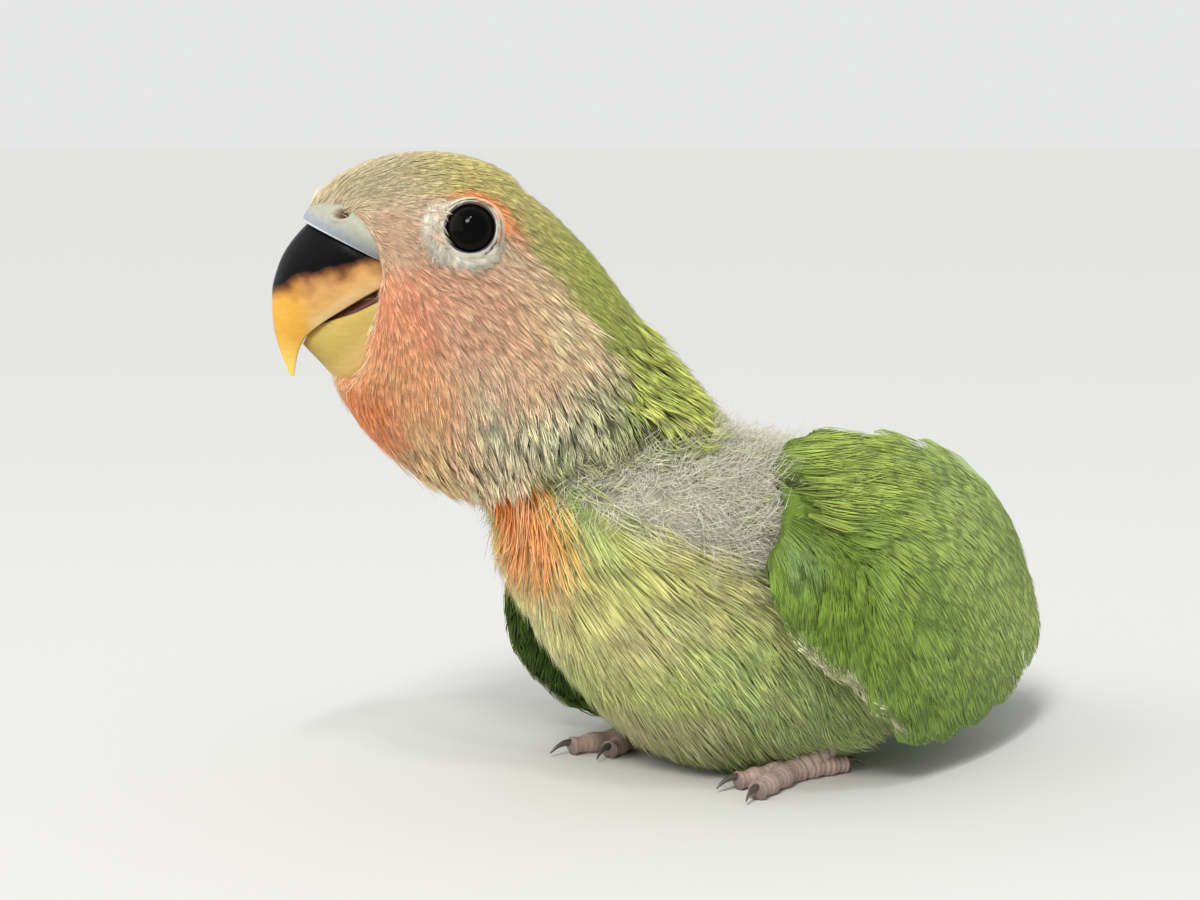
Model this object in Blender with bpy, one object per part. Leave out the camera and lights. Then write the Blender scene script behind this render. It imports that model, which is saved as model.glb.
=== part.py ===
"""A peach faced lovebird chick, life size, crouched on its belly with its head up and turned to its right.

The bird faces -Y, its left side is +X and up is +Z. Every size below is in millimetres, and new_solid
turns them into metres. The torso is lofted along the bird's own mid-plane. The head and neck are lofted
in a second upright plane, turned to the right about the neck. Wings and tail are a core with overlapping
vanes rooted in it. Neighbours are cut clear of one another, so that they meet face to face with a gap.
"""

import math
import random
from typing import Callable, NamedTuple

import bmesh
import bpy
from mathutils import Vector

MM = 0.001
GAP = 0.3
SEED = 7

# Driving sizes of the bird
HEAD_TURN = 40.0
EYE_RADIUS = 3.0
EYE_OPENING = 2.25
EYE_DEPTH = 2.0
EYE_ASIDE = 10.4
EYE_LOOKS_UP = 0.22
EYE_LOOKS_AHEAD = 0.10
LID_RING = 0.42
FLIGHT_VANES = 10
COVERT_VANES = 8
SCAPULAR_VANES = 5
TAIL_VANES = 6
VANE_THICKNESS = 0.7
VANE_ROLL = 0.45
RIGHT_WING_DROOP = 9.0
RIGHT_WING_DROP = 6.5
FLOOR = 2.5
FLOOR_CLEARANCE = 0.9
FLOOR_EASE = 6.5


class Station(NamedTuple):
    """One cross section: its lower and upper point in the loft's plane as (along, up), and its shape."""

    low: tuple
    high: tuple
    half_width: float
    middle: float = 0.5
    roundness: float = 2.2
    side_rise: float = 0.0


class Plane(NamedTuple):
    """An upright plane that a loft is drawn in: a point on it, its forward direction and its left."""

    origin: Vector
    forward: Vector
    left: Vector

    def point(self, along: float, up: float, aside: float = 0.0) -> Vector:
        """The world point at a distance along the plane, at a height and at a distance to its left."""
        flat = self.origin + self.forward * along + self.left * aside
        return Vector((flat.x, flat.y, up))


def turned_plane(origin: tuple, turn: float) -> Plane:
    """A plane that faces -Y, turned to the bird's right by some degrees."""
    angle = math.radians(turn)
    forward = Vector((-math.sin(angle), -math.cos(angle), 0.0))
    left = Vector((math.cos(angle), -math.sin(angle), 0.0))
    return Plane(Vector(origin), forward, left)


BODY_PLANE = turned_plane((0.0, 0.0, 0.0), 0.0)
HEAD_PLANE = turned_plane((0.0, -22.0, 0.0), HEAD_TURN)

# The under half of a section has this roundness and the upper half its station's own
LOWER_ROUNDNESS = 2.15

# Along is towards the bill in each plane, so the torso runs from the rump, behind, to the breast
TORSO = (
    Station((-29.0, 14.0), (-28.5, 22.5), 5.0),
    Station((-23.5, 8.0), (-23.5, 27.5), 11.8),
    Station((-15.0, 3.2), (-15.5, 32.0), 15.6, 0.48, 2.4),
    Station((-5.0, 0.8), (-5.0, 35.8), 17.8, 0.5, 2.7),
    Station((5.0, 0.4), (4.0, 37.5), 18.4, 0.54, 2.9),
    Station((13.0, 2.4), (11.0, 39.0), 18.2, 0.6, 2.9),
    Station((20.5, 7.8), (15.0, 40.5), 17.2, 0.62, 2.6),
    Station((27.8, 15.2), (17.0, 42.5), 15.8, 0.6),
    Station((34.1, 24.3), (18.5, 44.0), 13.8),
    Station((35.8, 32.8), (21.0, 44.0), 10.8),
)
HOOD = (
    Station((12.0, 29.5), (-12.5, 36.0), 11.0, 0.5, 2.2, 3.4),
    Station((16.2, 32.2), (-10.8, 38.8), 12.8, 0.5, 2.2, 3.0),
    Station((19.9, 34.2), (-8.6, 41.4), 13.2, 0.5, 2.2, 2.2),
    Station((23.8, 36.2), (-5.5, 45.1), 12.9, 0.5, 2.2, 1.2),
    Station((27.2, 39.3), (-1.9, 49.7), 12.4, 0.5, 2.2, 0.5),
    Station((29.3, 43.0), (2.4, 55.3), 12.0),
    Station((28.9, 44.0), (6.6, 60.4), 11.8),
    Station((27.9, 45.2), (12.0, 64.8), 11.4),
    Station((26.9, 47.4), (18.5, 67.0), 10.4),
    Station((25.6, 50.4), (23.6, 66.8), 8.4),
    Station((25.2, 53.8), (27.4, 65.6), 6.9),
    Station((25.6, 56.8), (30.3, 64.1), 5.2),
)
NECK_STATIONS = 5

# Low is the cutting edge, from the bill's root to its tip, and high is the ridge or the chin
UPPER_BILL = (
    Station((22.6, 55.6), (29.6, 62.2), 5.6),
    Station((24.6, 54.5), (32.3, 60.7), 5.9),
    Station((26.6, 53.4), (34.7, 57.9), 5.2),
    Station((29.0, 52.0), (35.9, 54.9), 4.2),
    Station((31.2, 50.6), (36.1, 53.0), 3.3),
    Station((32.8, 49.2), (36.0, 50.4), 2.3),
    Station((33.6, 47.5), (35.4, 47.9), 1.4),
    Station((34.0, 45.4), (34.4, 45.3), 0.4),
)
LOWER_BILL = (
    Station((22.6, 54.9), (24.0, 45.6), 4.9),
    Station((24.6, 53.8), (27.0, 44.0), 5.1),
    Station((27.6, 52.1), (29.6, 44.9), 4.5),
    Station((30.0, 50.9), (31.6, 46.9), 3.4),
    Station((31.9, 49.9), (33.1, 48.5), 1.8),
)
EDGE_FLATNESS = 0.04
CERE = (
    Station((23.0, 56.8), (27.6, 63.0), 6.8),
    Station((24.6, 56.2), (30.0, 63.3), 7.0),
    Station((25.6, 55.4), (32.2, 62.2), 6.6),
    Station((26.2, 55.2), (33.0, 60.8), 5.9),
)
NOSTRIL_PLACE = (28.8, 61.6)
EYE_PLACE = (16.6, 60.4)

# The wing's hub is near the wrist, and its outline is a distance from the hub at an angle from straight back
WING_HUB = (-12.0, 27.5)
WING_CORE_OUTLINE = (
    (-180.0, 9.9),
    (-150.0, 10.0),
    (-120.0, 10.8),
    (-95.0, 12.2),
    (-72.0, 16.5),
    (-45.0, 22.0),
    (-25.0, 27.0),
    (-10.0, 27.0),
    (10.0, 21.0),
    (40.0, 15.0),
    (60.0, 13.6),
    (85.0, 11.6),
    (110.0, 10.5),
    (135.0, 8.0),
    (155.0, 8.0),
    (180.0, 9.9),
)
WING_TIP_OUTLINE = (
    (-76.0, 17.0),
    (-60.0, 24.0),
    (-48.0, 28.5),
    (-38.0, 32.0),
    (-28.0, 38.0),
    (-20.0, 44.0),
    (-13.0, 45.5),
    (-5.0, 43.0),
    (4.0, 36.0),
    (16.0, 26.5),
    (34.0, 18.6),
)
WING_THICKNESS = 3.0
WING_STAND_OFF = 22.6
WING_BEND_FRONT = 7.0
WING_BEND_BACK = 6.2
WING_BEND_PLACE = -3.0
WING_BEND_REACH = 29.0
WING_FOLD_LEVEL = 23.0
WING_FOLD = 9.0
WING_FOLD_REACH = 16.0
WING_TUCK_LEVEL = 14.0
WING_TUCK = 3.0
WING_TUCK_REACH = 14.0
WING_WRAP = 4.0

# Places and sizes on the left side, with heights above the floor. A toe is its heading, length and radius
FOOT_JOINT = (11.0, -9.0, 1.0)
SHANK_KNEE = (0.3, 4.5, 1.8)
SHANK_END = (0.7, 9.0, 4.8)
SHANK_RADII = (1.35, 1.25, 1.3)
TOES = ((-14.0, 7.0, 1.15), (16.0, 8.8, 1.2), (166.0, 6.6, 1.1), (-158.0, 5.0, 1.0))
LEG_MIDDLE = (12.6, -1.5, 8.6)
LEG_RADII = (5.6, 9.4, 6.2)
TAIL_ROOT = (24.0, 17.5)
TAIL_SLOPE = 0.34
TAIL_ROOF = 0.055

MATERIALS = {
    "head": (0.62, 0.42, 0.26),
    "neck": (0.47, 0.48, 0.30),
    "torso": (0.50, 0.56, 0.22),
    "tail": (0.22, 0.40, 0.10),
    "wing": (0.18, 0.34, 0.07),
    "leg": (0.45, 0.45, 0.30),
    "foot": (0.45, 0.38, 0.34),
    "eye": (0.01, 0.01, 0.01),
    "beak_upper": (0.35, 0.22, 0.10),
    "beak_lower": (0.75, 0.66, 0.20),
    "cere": (0.60, 0.65, 0.62),
}


def clear_scene() -> None:
    """Takes every object out of the scene."""
    for found in list(bpy.data.objects):
        bpy.data.objects.remove(found, do_unlink=True)


def material(name: str, roughness: float = 0.8) -> bpy.types.Material:
    """A plain finish in the part's own colour, made once."""
    made = bpy.data.materials.get(name)
    if made is None:
        made = bpy.data.materials.new(name)
        made.use_nodes = True
        shader = made.node_tree.nodes["Principled BSDF"]
        shader.inputs["Base Color"].default_value = (*MATERIALS[name], 1.0)
        shader.inputs["Roughness"].default_value = roughness
        shader.inputs["Metallic"].default_value = 0.0
    return made


def new_solid(name: str, points: list, faces: list) -> bpy.types.Object:
    """A mesh object from points in millimetres and faces, with its faces turned outwards."""
    work = bmesh.new()
    verts = [work.verts.new(Vector(point) * MM) for point in points]
    for face in faces:
        work.faces.new([verts[index] for index in face])
    bmesh.ops.recalc_face_normals(work, faces=work.faces)
    mesh = bpy.data.meshes.new(name)
    work.to_mesh(mesh)
    work.free()
    made = bpy.data.objects.new(name, mesh)
    bpy.context.scene.collection.objects.link(made)
    return made


def smooth_value(values: list, place: float) -> float:
    """The value at a place along a row of values, on a Catmull-Rom curve through them."""
    index = min(int(place), len(values) - 2)
    part = place - index
    before = values[max(index - 1, 0)]
    first, second = values[index], values[index + 1]
    after = values[min(index + 2, len(values) - 1)]
    slope_in = (second - before) / 2
    slope_out = (after - first) / 2
    square, cube = part * part, part * part * part
    return (
        (2 * cube - 3 * square + 1) * first
        + (cube - 2 * square + part) * slope_in
        + (3 * square - 2 * cube) * second
        + (cube - square) * slope_out
    )


def between(stations: tuple, place: float) -> Station:
    """The station at a place along a row of them."""
    rows = [(*s.low, *s.high, s.half_width, s.middle, s.roundness, s.side_rise) for s in stations]
    mixed = [smooth_value([row[column] for row in rows], place) for column in range(len(rows[0]))]
    return Station((mixed[0], mixed[1]), (mixed[2], mixed[3]), *mixed[4:])


def swing(value: float, roundness: float) -> float:
    """A sine or cosine drawn towards a square section as the roundness rises above 2."""
    return math.copysign(abs(value) ** (2.0 / roundness), value)


def section(station: Station, plane: Plane, sides: int, flat_low: float) -> list:
    """The points round one cross section. flat_low squeezes the lower half towards its level."""
    low, high = Vector(station.low), Vector(station.high)
    middle = low.lerp(high, station.middle)
    if flat_low:
        middle = low.lerp(high, flat_low)
    ring = []
    for side in range(sides):
        angle = 2 * math.pi * side / sides
        roundness = station.roundness if math.sin(angle) > 0 else LOWER_ROUNDNESS
        aside = swing(math.cos(angle), roundness)
        rise = swing(math.sin(angle), roundness)
        place = middle + (high - middle) * rise if rise > 0 else middle + (middle - low) * rise
        up = place.y + station.side_rise * aside * aside
        ring.append(plane.point(place.x, up, aside * station.half_width))
    return ring


def loft(
    name: str, stations: tuple, plane: Plane, rings: int, sides: int, flat_low: float = 0.0
) -> bpy.types.Object:
    """A closed skin through cross sections, with a low dome on each end."""
    last = len(stations) - 1
    rows = [
        section(between(stations, last * ring / (rings - 1)), plane, sides, flat_low) for ring in range(rings)
    ]
    points = [point for row in rows for point in row]
    faces = []
    for ring in range(rings - 1):
        for side in range(sides):
            near = ring * sides + side
            beside = ring * sides + (side + 1) % sides
            faces.append((near, beside, beside + sides, near + sides))
    for row, inner in ((0, 1), (rings - 1, rings - 2)):
        centre = sum(rows[row], Vector()) / sides
        inner_centre = sum(rows[inner], Vector()) / sides
        points.append(centre + (centre - inner_centre) * 0.4)
        for side in range(sides):
            faces.append((row * sides + side, row * sides + (side + 1) % sides, len(points) - 1))
    return new_solid(name, points, faces)


def ball(name: str, centre: Vector, radii: tuple, rings: int = 8, sides: int = 14) -> bpy.types.Object:
    """An ellipsoid."""
    points = [centre + Vector((0, 0, radii[2])), centre - Vector((0, 0, radii[2]))]
    faces = []
    for ring in range(1, rings):
        polar = math.pi * ring / rings
        for side in range(sides):
            angle = 2 * math.pi * side / sides
            around = Vector((math.cos(angle) * radii[0], math.sin(angle) * radii[1], 0.0))
            points.append(centre + around * math.sin(polar) + Vector((0.0, 0.0, radii[2] * math.cos(polar))))
    for side in range(sides):
        beside = (side + 1) % sides
        faces.append((0, 2 + side, 2 + beside))
        faces.append((1, 2 + (rings - 2) * sides + beside, 2 + (rings - 2) * sides + side))
        for ring in range(rings - 2):
            start = 2 + ring * sides
            faces.append((start + side, start + sides + side, start + sides + beside, start + beside))
    return new_solid(name, points, faces)


def ring_round(name: str, centre: Vector, axis: Vector, radius: float, tube: float) -> bpy.types.Object:
    """A torus about an axis."""
    around, across = 18, 6
    side_way = axis.cross(Vector((0, 0, 1))).normalized()
    up_way = side_way.cross(axis).normalized()
    points = []
    for step in range(around):
        turn = 2 * math.pi * step / around
        outward = side_way * math.cos(turn) + up_way * math.sin(turn)
        for part in range(across):
            bend = 2 * math.pi * part / across
            points.append(centre + outward * (radius + tube * math.cos(bend)) + axis * tube * math.sin(bend))
    faces = []
    for step in range(around):
        for part in range(across):
            following = (step + 1) % around
            faces.append(
                (
                    step * across + part,
                    step * across + (part + 1) % across,
                    following * across + (part + 1) % across,
                    following * across + part,
                )
            )
    return new_solid(name, points, faces)


def tube(name: str, path: list, radii: list, sides: int = 7) -> bpy.types.Object:
    """A tapered tube along points, closed by a point at each end."""
    points, faces = [], []
    for step, place in enumerate(path):
        ahead = path[min(step + 1, len(path) - 1)] - path[max(step - 1, 0)]
        side_way = ahead.cross(Vector((0, 0, 1)))
        side_way = side_way.normalized() if side_way.length > 1e-6 else Vector((1, 0, 0))
        up_way = side_way.cross(ahead).normalized()
        for side in range(sides):
            angle = 2 * math.pi * side / sides
            points.append(place + (side_way * math.cos(angle) + up_way * math.sin(angle)) * radii[step])
    for step in range(len(path) - 1):
        for side in range(sides):
            near = step * sides + side
            beside = step * sides + (side + 1) % sides
            faces.append((near, beside, beside + sides, near + sides))
    for row, other in ((0, 1), (len(path) - 1, len(path) - 2)):
        way = (path[row] - path[other]).normalized()
        points.append(path[row] + way * radii[row] * 0.5)
        for side in range(sides):
            faces.append((row * sides + side, row * sides + (side + 1) % sides, len(points) - 1))
    return new_solid(name, points, faces)


def remove(found: bpy.types.Object) -> None:
    """Takes one object and its mesh away."""
    mesh = found.data
    bpy.data.objects.remove(found, do_unlink=True)
    bpy.data.meshes.remove(mesh)


def apply_modifiers(solid: bpy.types.Object) -> None:
    """Makes what the modifiers give the object's own mesh."""
    graph = bpy.context.evaluated_depsgraph_get()
    finished = bpy.data.meshes.new_from_object(solid.evaluated_get(graph))
    solid.modifiers.clear()
    before = solid.data
    solid.data = finished
    bpy.data.meshes.remove(before)


def keep_largest(solid: bpy.types.Object) -> None:
    """Drops every closed surface of a solid but the largest."""
    work = bmesh.new()
    work.from_mesh(solid.data)
    bmesh.ops.remove_doubles(work, verts=work.verts, dist=1e-7)
    left = set(work.faces)
    groups = []
    while left:
        start = left.pop()
        group, edge_of_group = {start}, [start]
        while edge_of_group:
            for edge in edge_of_group.pop().edges:
                for face in edge.link_faces:
                    if face in left:
                        left.remove(face)
                        group.add(face)
                        edge_of_group.append(face)
        groups.append(group)
    groups.sort(key=lambda faces: sum(face.calc_area() for face in faces))
    loose = [face for group in groups[:-1] for face in group]
    bmesh.ops.delete(work, geom=loose, context="FACES")
    bmesh.ops.delete(work, geom=[vert for vert in work.verts if not vert.link_faces], context="VERTS")
    work.to_mesh(solid.data)
    work.free()


def fuse(name: str, pieces: list) -> bpy.types.Object:
    """One closed body from overlapping pieces, by one union on a collection of them."""
    first, others = pieces[0], pieces[1:]
    if others:
        group = bpy.data.collections.new(name + " pieces")
        bpy.context.scene.collection.children.link(group)
        for piece in others:
            group.objects.link(piece)
        union = first.modifiers.new("union", "BOOLEAN")
        union.operation = "UNION"
        union.solver = "EXACT"
        union.operand_type = "COLLECTION"
        union.collection = group
        union.use_self = True
        bpy.context.view_layer.update()
        apply_modifiers(first)
        bpy.data.collections.remove(group)
        for piece in others:
            remove(piece)
    first.name = name
    keep_largest(first)
    return first


def cut_away(solid: bpy.types.Object, cutter: bpy.types.Object) -> None:
    """Cuts one solid by another, which is used up."""
    bite = solid.modifiers.new("cut", "BOOLEAN")
    bite.operation = "DIFFERENCE"
    bite.solver = "EXACT"
    bite.object = cutter
    bpy.context.view_layer.update()
    apply_modifiers(solid)
    remove(cutter)
    keep_largest(solid)


def grown(solid: bpy.types.Object, distance: float = GAP) -> bpy.types.Object:
    """A copy of a solid with its surface pushed outwards."""
    copy = bpy.data.objects.new(solid.name + " grown", solid.data.copy())
    bpy.context.scene.collection.objects.link(copy)
    work = bmesh.new()
    work.from_mesh(copy.data)
    bmesh.ops.triangulate(work, faces=work.faces)
    work.normal_update()
    moves = [vert.normal.copy() for vert in work.verts]
    for vert, move in zip(work.verts, moves):
        vert.co += move * distance * MM
    work.to_mesh(copy.data)
    work.free()
    return copy


def keep_side(solid: bpy.types.Object, place: Vector, normal: Vector) -> None:
    """Cuts a solid off flat at a plane, keeps the side that the normal points to and closes it."""
    work = bmesh.new()
    work.from_mesh(solid.data)
    cut = bmesh.ops.bisect_plane(
        work,
        geom=list(work.verts) + list(work.edges) + list(work.faces),
        plane_co=place * MM,
        plane_no=normal,
        clear_inner=True,
        dist=1e-7,
    )
    edges = [item for item in cut["geom_cut"] if isinstance(item, bmesh.types.BMEdge)]
    bmesh.ops.edgenet_fill(work, edges=edges)
    bmesh.ops.recalc_face_normals(work, faces=work.faces)
    work.to_mesh(solid.data)
    work.free()


def flatten_on_floor(solid: bpy.types.Object) -> None:
    """Gives a solid its small flat on the floor."""
    keep_side(solid, Vector((0.0, 0.0, FLOOR)), Vector((0.0, 0.0, 1.0)))


def centre_on_floor(solids: list) -> None:
    """Moves every mesh so that the origin is on the floor under the middle of the bird's box."""
    corners = [vert.co for solid in solids for vert in solid.data.vertices]
    low = [min(corner[axis] for corner in corners) for axis in range(3)]
    high = [max(corner[axis] for corner in corners) for axis in range(3)]
    move = Vector(((low[0] + high[0]) / 2, (low[1] + high[1]) / 2, low[2]))
    for solid in solids:
        for vert in solid.data.vertices:
            vert.co -= move


def finish(solid: bpy.types.Object, finish_name: str, roughness: float = 0.8) -> bpy.types.Object:
    """Gives a node its material and smooth shading."""
    solid.data.materials.clear()
    solid.data.materials.append(material(finish_name, roughness))
    solid.data.shade_smooth()
    solid.data.set_sharp_from_angle(angle=math.radians(45))
    return solid


class Blade(NamedTuple):
    """Where one feather vane starts and ends on its surface, in millimetres."""

    root: tuple
    tip: tuple
    half_width: float
    lift_root: float
    lift_tip: float
    curl: float = 0.0
    roll: float = 0.0


VANE_SHAPE = ((0.0, 0.5), (0.4, 1.0), (0.86, 0.92), (1.0, 0.42))


def vane(name: str, blade: Blade, surface: Callable, thickness: float = VANE_THICKNESS) -> bpy.types.Object:
    """One feather: a thin tapered blade that follows a surface, with a low ridge along its shaft."""
    root, tip = Vector(blade.root), Vector(blade.tip)
    way = (tip - root).normalized()
    across = Vector((-way.y, way.x))
    points = []
    for place, share in VANE_SHAPE:
        centre = root.lerp(tip, place) + across * blade.curl * math.sin(math.pi * place)
        lift = blade.lift_root + (blade.lift_tip - blade.lift_root) * place
        thin = thickness * (1.0 - 0.55 * place)
        for aside, ridge in ((-1.0, 0.3), (0.0, 0.5), (1.0, 0.3)):
            flat = centre + across * aside * share * blade.half_width
            for face in (1, -1):
                points.append(surface(flat, lift + face * ridge * thin - aside * blade.roll))
    return new_solid(name, points, vane_faces(len(VANE_SHAPE)))


def vane_faces(rows: int) -> list:
    """Triangles of a vane whose rows hold left, shaft and right, each with its upper and lower point."""
    upper, lower = (0, 2, 4), (1, 3, 5)
    faces = []
    for row in range(rows - 1):
        near, far = row * 6, row * 6 + 6
        for left, right in ((0, 1), (1, 2)):
            for side in (upper, lower):
                if left == 0:
                    faces.append((near + side[0], near + side[1], far + side[1]))
                    faces.append((near + side[0], far + side[1], far + side[0]))
                else:
                    faces.append((near + side[1], near + side[2], far + side[1]))
                    faces.append((near + side[2], far + side[2], far + side[1]))
        for column in (0, 2):
            a, b = upper[column], lower[column]
            faces.append((near + a, near + b, far + b))
            faces.append((near + a, far + b, far + a))
    for row in (0, rows - 1):
        start = row * 6
        faces.append((start + 0, start + 2, start + 3, start + 1))
        faces.append((start + 2, start + 4, start + 5, start + 3))
    return faces


def above_floor(up: float) -> float:
    """A height eased upwards near the floor, so that a drooping wing lies down along it."""
    room = FLOOR_EASE - FLOOR_CLEARANCE
    below = min(0.0, up - FLOOR - FLOOR_EASE)
    return max(up, FLOOR + FLOOR_CLEARANCE + room * math.exp(below / room))


def outline_at(outline: tuple, angle: float) -> float:
    """The distance from the hub at an angle, between the outline's own points."""
    for (first, near), (second, far) in zip(outline, outline[1:]):
        if angle <= second:
            part = (angle - first) / (second - first)
            part = part * part * (3 - 2 * part)
            return near + (far - near) * part
    return outline[-1][1]


class Wing:
    """One folded wing: a cupped core over the arm, and tiers of vanes that fan out from the hub."""

    def __init__(self, side: int, droop: float, drop: float) -> None:
        """side is 1 for the left wing and -1 for the right, droop is in degrees and drop is a height."""
        self.side = side
        self.droop = droop
        self.drop = drop
        self.chance = random.Random(SEED + side)

    def surface(self, flat: Vector, lift: float) -> Vector:
        """The point over the bird's side at (back, up), lifted outwards from the folded wing's bowl."""
        back, up = flat.x, flat.y
        bend = WING_BEND_FRONT if back < WING_BEND_PLACE else WING_BEND_BACK
        bent = (back - WING_BEND_PLACE) / WING_BEND_REACH
        folded = max(0.0, up + self.drop / 2 - WING_FOLD_LEVEL) / WING_FOLD_REACH
        tucked = max(0.0, WING_TUCK_LEVEL - up) / WING_TUCK_REACH
        behind = max(0.0, bent) ** 2
        raised = max(0.0, up - WING_TUCK_LEVEL) / WING_FOLD_REACH
        aside = WING_STAND_OFF - bend * bent ** 2 - WING_FOLD * folded ** 2 - WING_TUCK * tucked ** 2
        aside -= WING_WRAP * behind * raised
        slope_back = -2.0 * (bend + WING_WRAP * raised) * bent / WING_BEND_REACH
        slope_up = 2.0 * WING_TUCK * tucked / WING_TUCK_REACH
        slope_up -= (2.0 * WING_FOLD * folded + WING_WRAP * behind) / WING_FOLD_REACH
        outward = Vector((1.0, -slope_back, -slope_up)).normalized()
        place = Vector((aside, back, up)) + outward * lift
        return Vector((place.x * self.side, place.y, above_floor(place.z)))

    def at(self, angle: float, reach: float) -> Vector:
        """The (back, up) point at an angle above straight back and a distance from the hub."""
        turned = math.radians(angle - self.droop)
        up = WING_HUB[1] - self.drop + reach * math.sin(turned)
        return Vector((WING_HUB[0] + reach * math.cos(turned), up))

    def core(self) -> bpy.types.Object:
        """The arm and the skin round it, thick at the hub and thin at the rim."""
        rings, sides = 4, 22
        hub = self.at(0.0, 0.0)
        points, faces = [self.surface(hub, 0.0), self.surface(hub, -WING_THICKNESS - 0.2)], []
        for face in (1, -1):
            for ring in range(1, rings + 1):
                share = ring / rings
                thin = math.sqrt(max(0.0, 1.0 - share ** 3))
                for step in range(sides):
                    angle = -180.0 + 360.0 * step / sides
                    flat = self.at(angle, outline_at(WING_CORE_OUTLINE, angle) * share)
                    lift = 0.2 * thin if face > 0 else -0.5 - (WING_THICKNESS - 0.5) * thin
                    points.append(self.surface(flat, lift - 0.2))
        for face in range(2):
            start = 2 + face * rings * sides
            for step in range(sides):
                beside = (step + 1) % sides
                faces.append((face, start + step, start + beside))
                for ring in range(rings - 1):
                    near = start + ring * sides
                    faces.append((near + step, near + sides + step, near + sides + beside, near + beside))
        outer, inner = 2 + (rings - 1) * sides, 2 + (2 * rings - 1) * sides
        for step in range(sides):
            beside = (step + 1) % sides
            faces.append((outer + step, inner + step, inner + beside, outer + beside))
        return new_solid("core", points, faces)

    def tier(
        self, count: int, angles: tuple, reach: float, length: float, turn: float, width: float, lift: float
    ) -> list:
        """A row of vanes from the upper edge to the lower, whose roots are turned up from their tips."""
        made = []
        for index in range(count):
            share = index / (count - 1)
            angle = angles[0] + (angles[1] - angles[0]) * share
            tip_reach = outline_at(WING_TIP_OUTLINE, angle) * reach + self.chance.uniform(-0.4, 0.4)
            tip = self.at(angle, tip_reach)
            root = self.at(angle + turn, tip_reach - length)
            blade = Blade(tuple(root), tuple(tip), width, lift - 0.8, lift + 0.2, 0.8, VANE_ROLL)
            made.append(vane("vane", blade, self.surface))
        return made

    def build(self) -> bpy.types.Object:
        """The whole wing as one body."""
        pieces = [self.core()]
        pieces += self.tier(FLIGHT_VANES, (8.0, -64.0), 1.0, 17.0, 12.0, 3.0, -0.6)
        pieces += self.tier(COVERT_VANES, (8.0, -66.0), 0.81, 13.0, 14.0, 3.0, 0.1)
        pieces += self.tier(COVERT_VANES - 1, (10.0, -72.0), 0.62, 11.0, 20.0, 2.9, 0.7)
        pieces += self.tier(SCAPULAR_VANES, (30.0, 5.0), 0.9, 14.0, 24.0, 2.7, 0.3)
        return fuse("wing_left" if self.side > 0 else "wing_right", pieces)


def tail_surface(flat: Vector, lift: float) -> Vector:
    """The tail's low roof: (aside, back) to a point, lifted above it."""
    aside, back = flat.x, flat.y
    up = TAIL_ROOT[1] - TAIL_SLOPE * (back - TAIL_ROOT[0]) - TAIL_ROOF * aside * aside
    return Vector((aside, back, up + lift))


def build_tail() -> bpy.types.Object:
    """A short tail: six flight vanes under a row of coverts, on a small stump."""
    pieces = [ball("stump", Vector((0, 25.0, 16.5)), (4.4, 5.2, 3.0), 8, 14)]
    for index in range(TAIL_VANES):
        place = index - (TAIL_VANES - 1) / 2
        root = (place * 1.0, TAIL_ROOT[0])
        tip = (place * 2.3, 42.5 - abs(place) * 1.1)
        height = -0.5 - 0.3 * abs(place)
        pieces.append(vane("vane", Blade(root, tip, 2.3, height, height, 0.0, 0.2 * place), tail_surface))
    for index in range(TAIL_VANES - 1):
        place = index - (TAIL_VANES - 2) / 2
        root = (place * 1.2, TAIL_ROOT[0] - 3.0)
        tip = (place * 2.4, 34.5 - abs(place) * 0.9)
        height = 0.5 - 0.3 * abs(place)
        pieces.append(vane("vane", Blade(root, tip, 2.2, height, height, 0.0, 0.2 * place), tail_surface))
    return fuse("tail", pieces)


def toe(root: Vector, heading: float, length: float, radius: float) -> list:
    """One toe on the floor with three pads and a hooked claw."""
    way = Vector((math.sin(heading), -math.cos(heading), 0.0))
    steps = 6
    path, radii = [], []
    for step in range(steps):
        share = step / (steps - 1)
        swell = 1.0 + 0.13 * math.cos(share * 3 * 2 * math.pi)
        path.append(root + way * length * share)
        radii.append(radius * (1.0 - 0.28 * share) * swell)
    end = path[-1]
    claw_path = [
        end - way * 0.8 + Vector((0, 0, 0.2)),
        end + way * 0.8 + Vector((0, 0, 0.35)),
        end + way * 1.9 + Vector((0, 0, 0.0)),
        end + way * 2.6 + Vector((0, 0, -0.6)),
    ]
    return [tube("toe", path, radii), tube("claw", claw_path, [0.55, 0.5, 0.36, 0.12], 6)]


def build_foot(side: int) -> bpy.types.Object:
    """Two toes forward and two back, with the shank that rises into the leg's feathers."""
    mirrored = Vector((side, 1.0, 1.0))
    joint = Vector(FOOT_JOINT) * mirrored + Vector((0.0, 0.0, FLOOR))
    shank = [joint, joint + Vector(SHANK_KNEE) * mirrored, joint + Vector(SHANK_END) * mirrored]
    pieces = [tube("shank", shank, SHANK_RADII)]
    for heading, length, radius in TOES:
        pieces += toe(joint, math.radians(heading * side), length, radius)
    foot = fuse("foot_left" if side > 0 else "foot_right", pieces)
    flatten_on_floor(foot)
    return foot


def build_leg(side: int) -> bpy.types.Object:
    """The feathered thigh that lies against the flank."""
    aside, back, up = LEG_MIDDLE
    name = "leg_left" if side > 0 else "leg_right"
    return ball(name, Vector((aside * side, back, FLOOR + up)), LEG_RADII, 10, 16)


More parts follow.
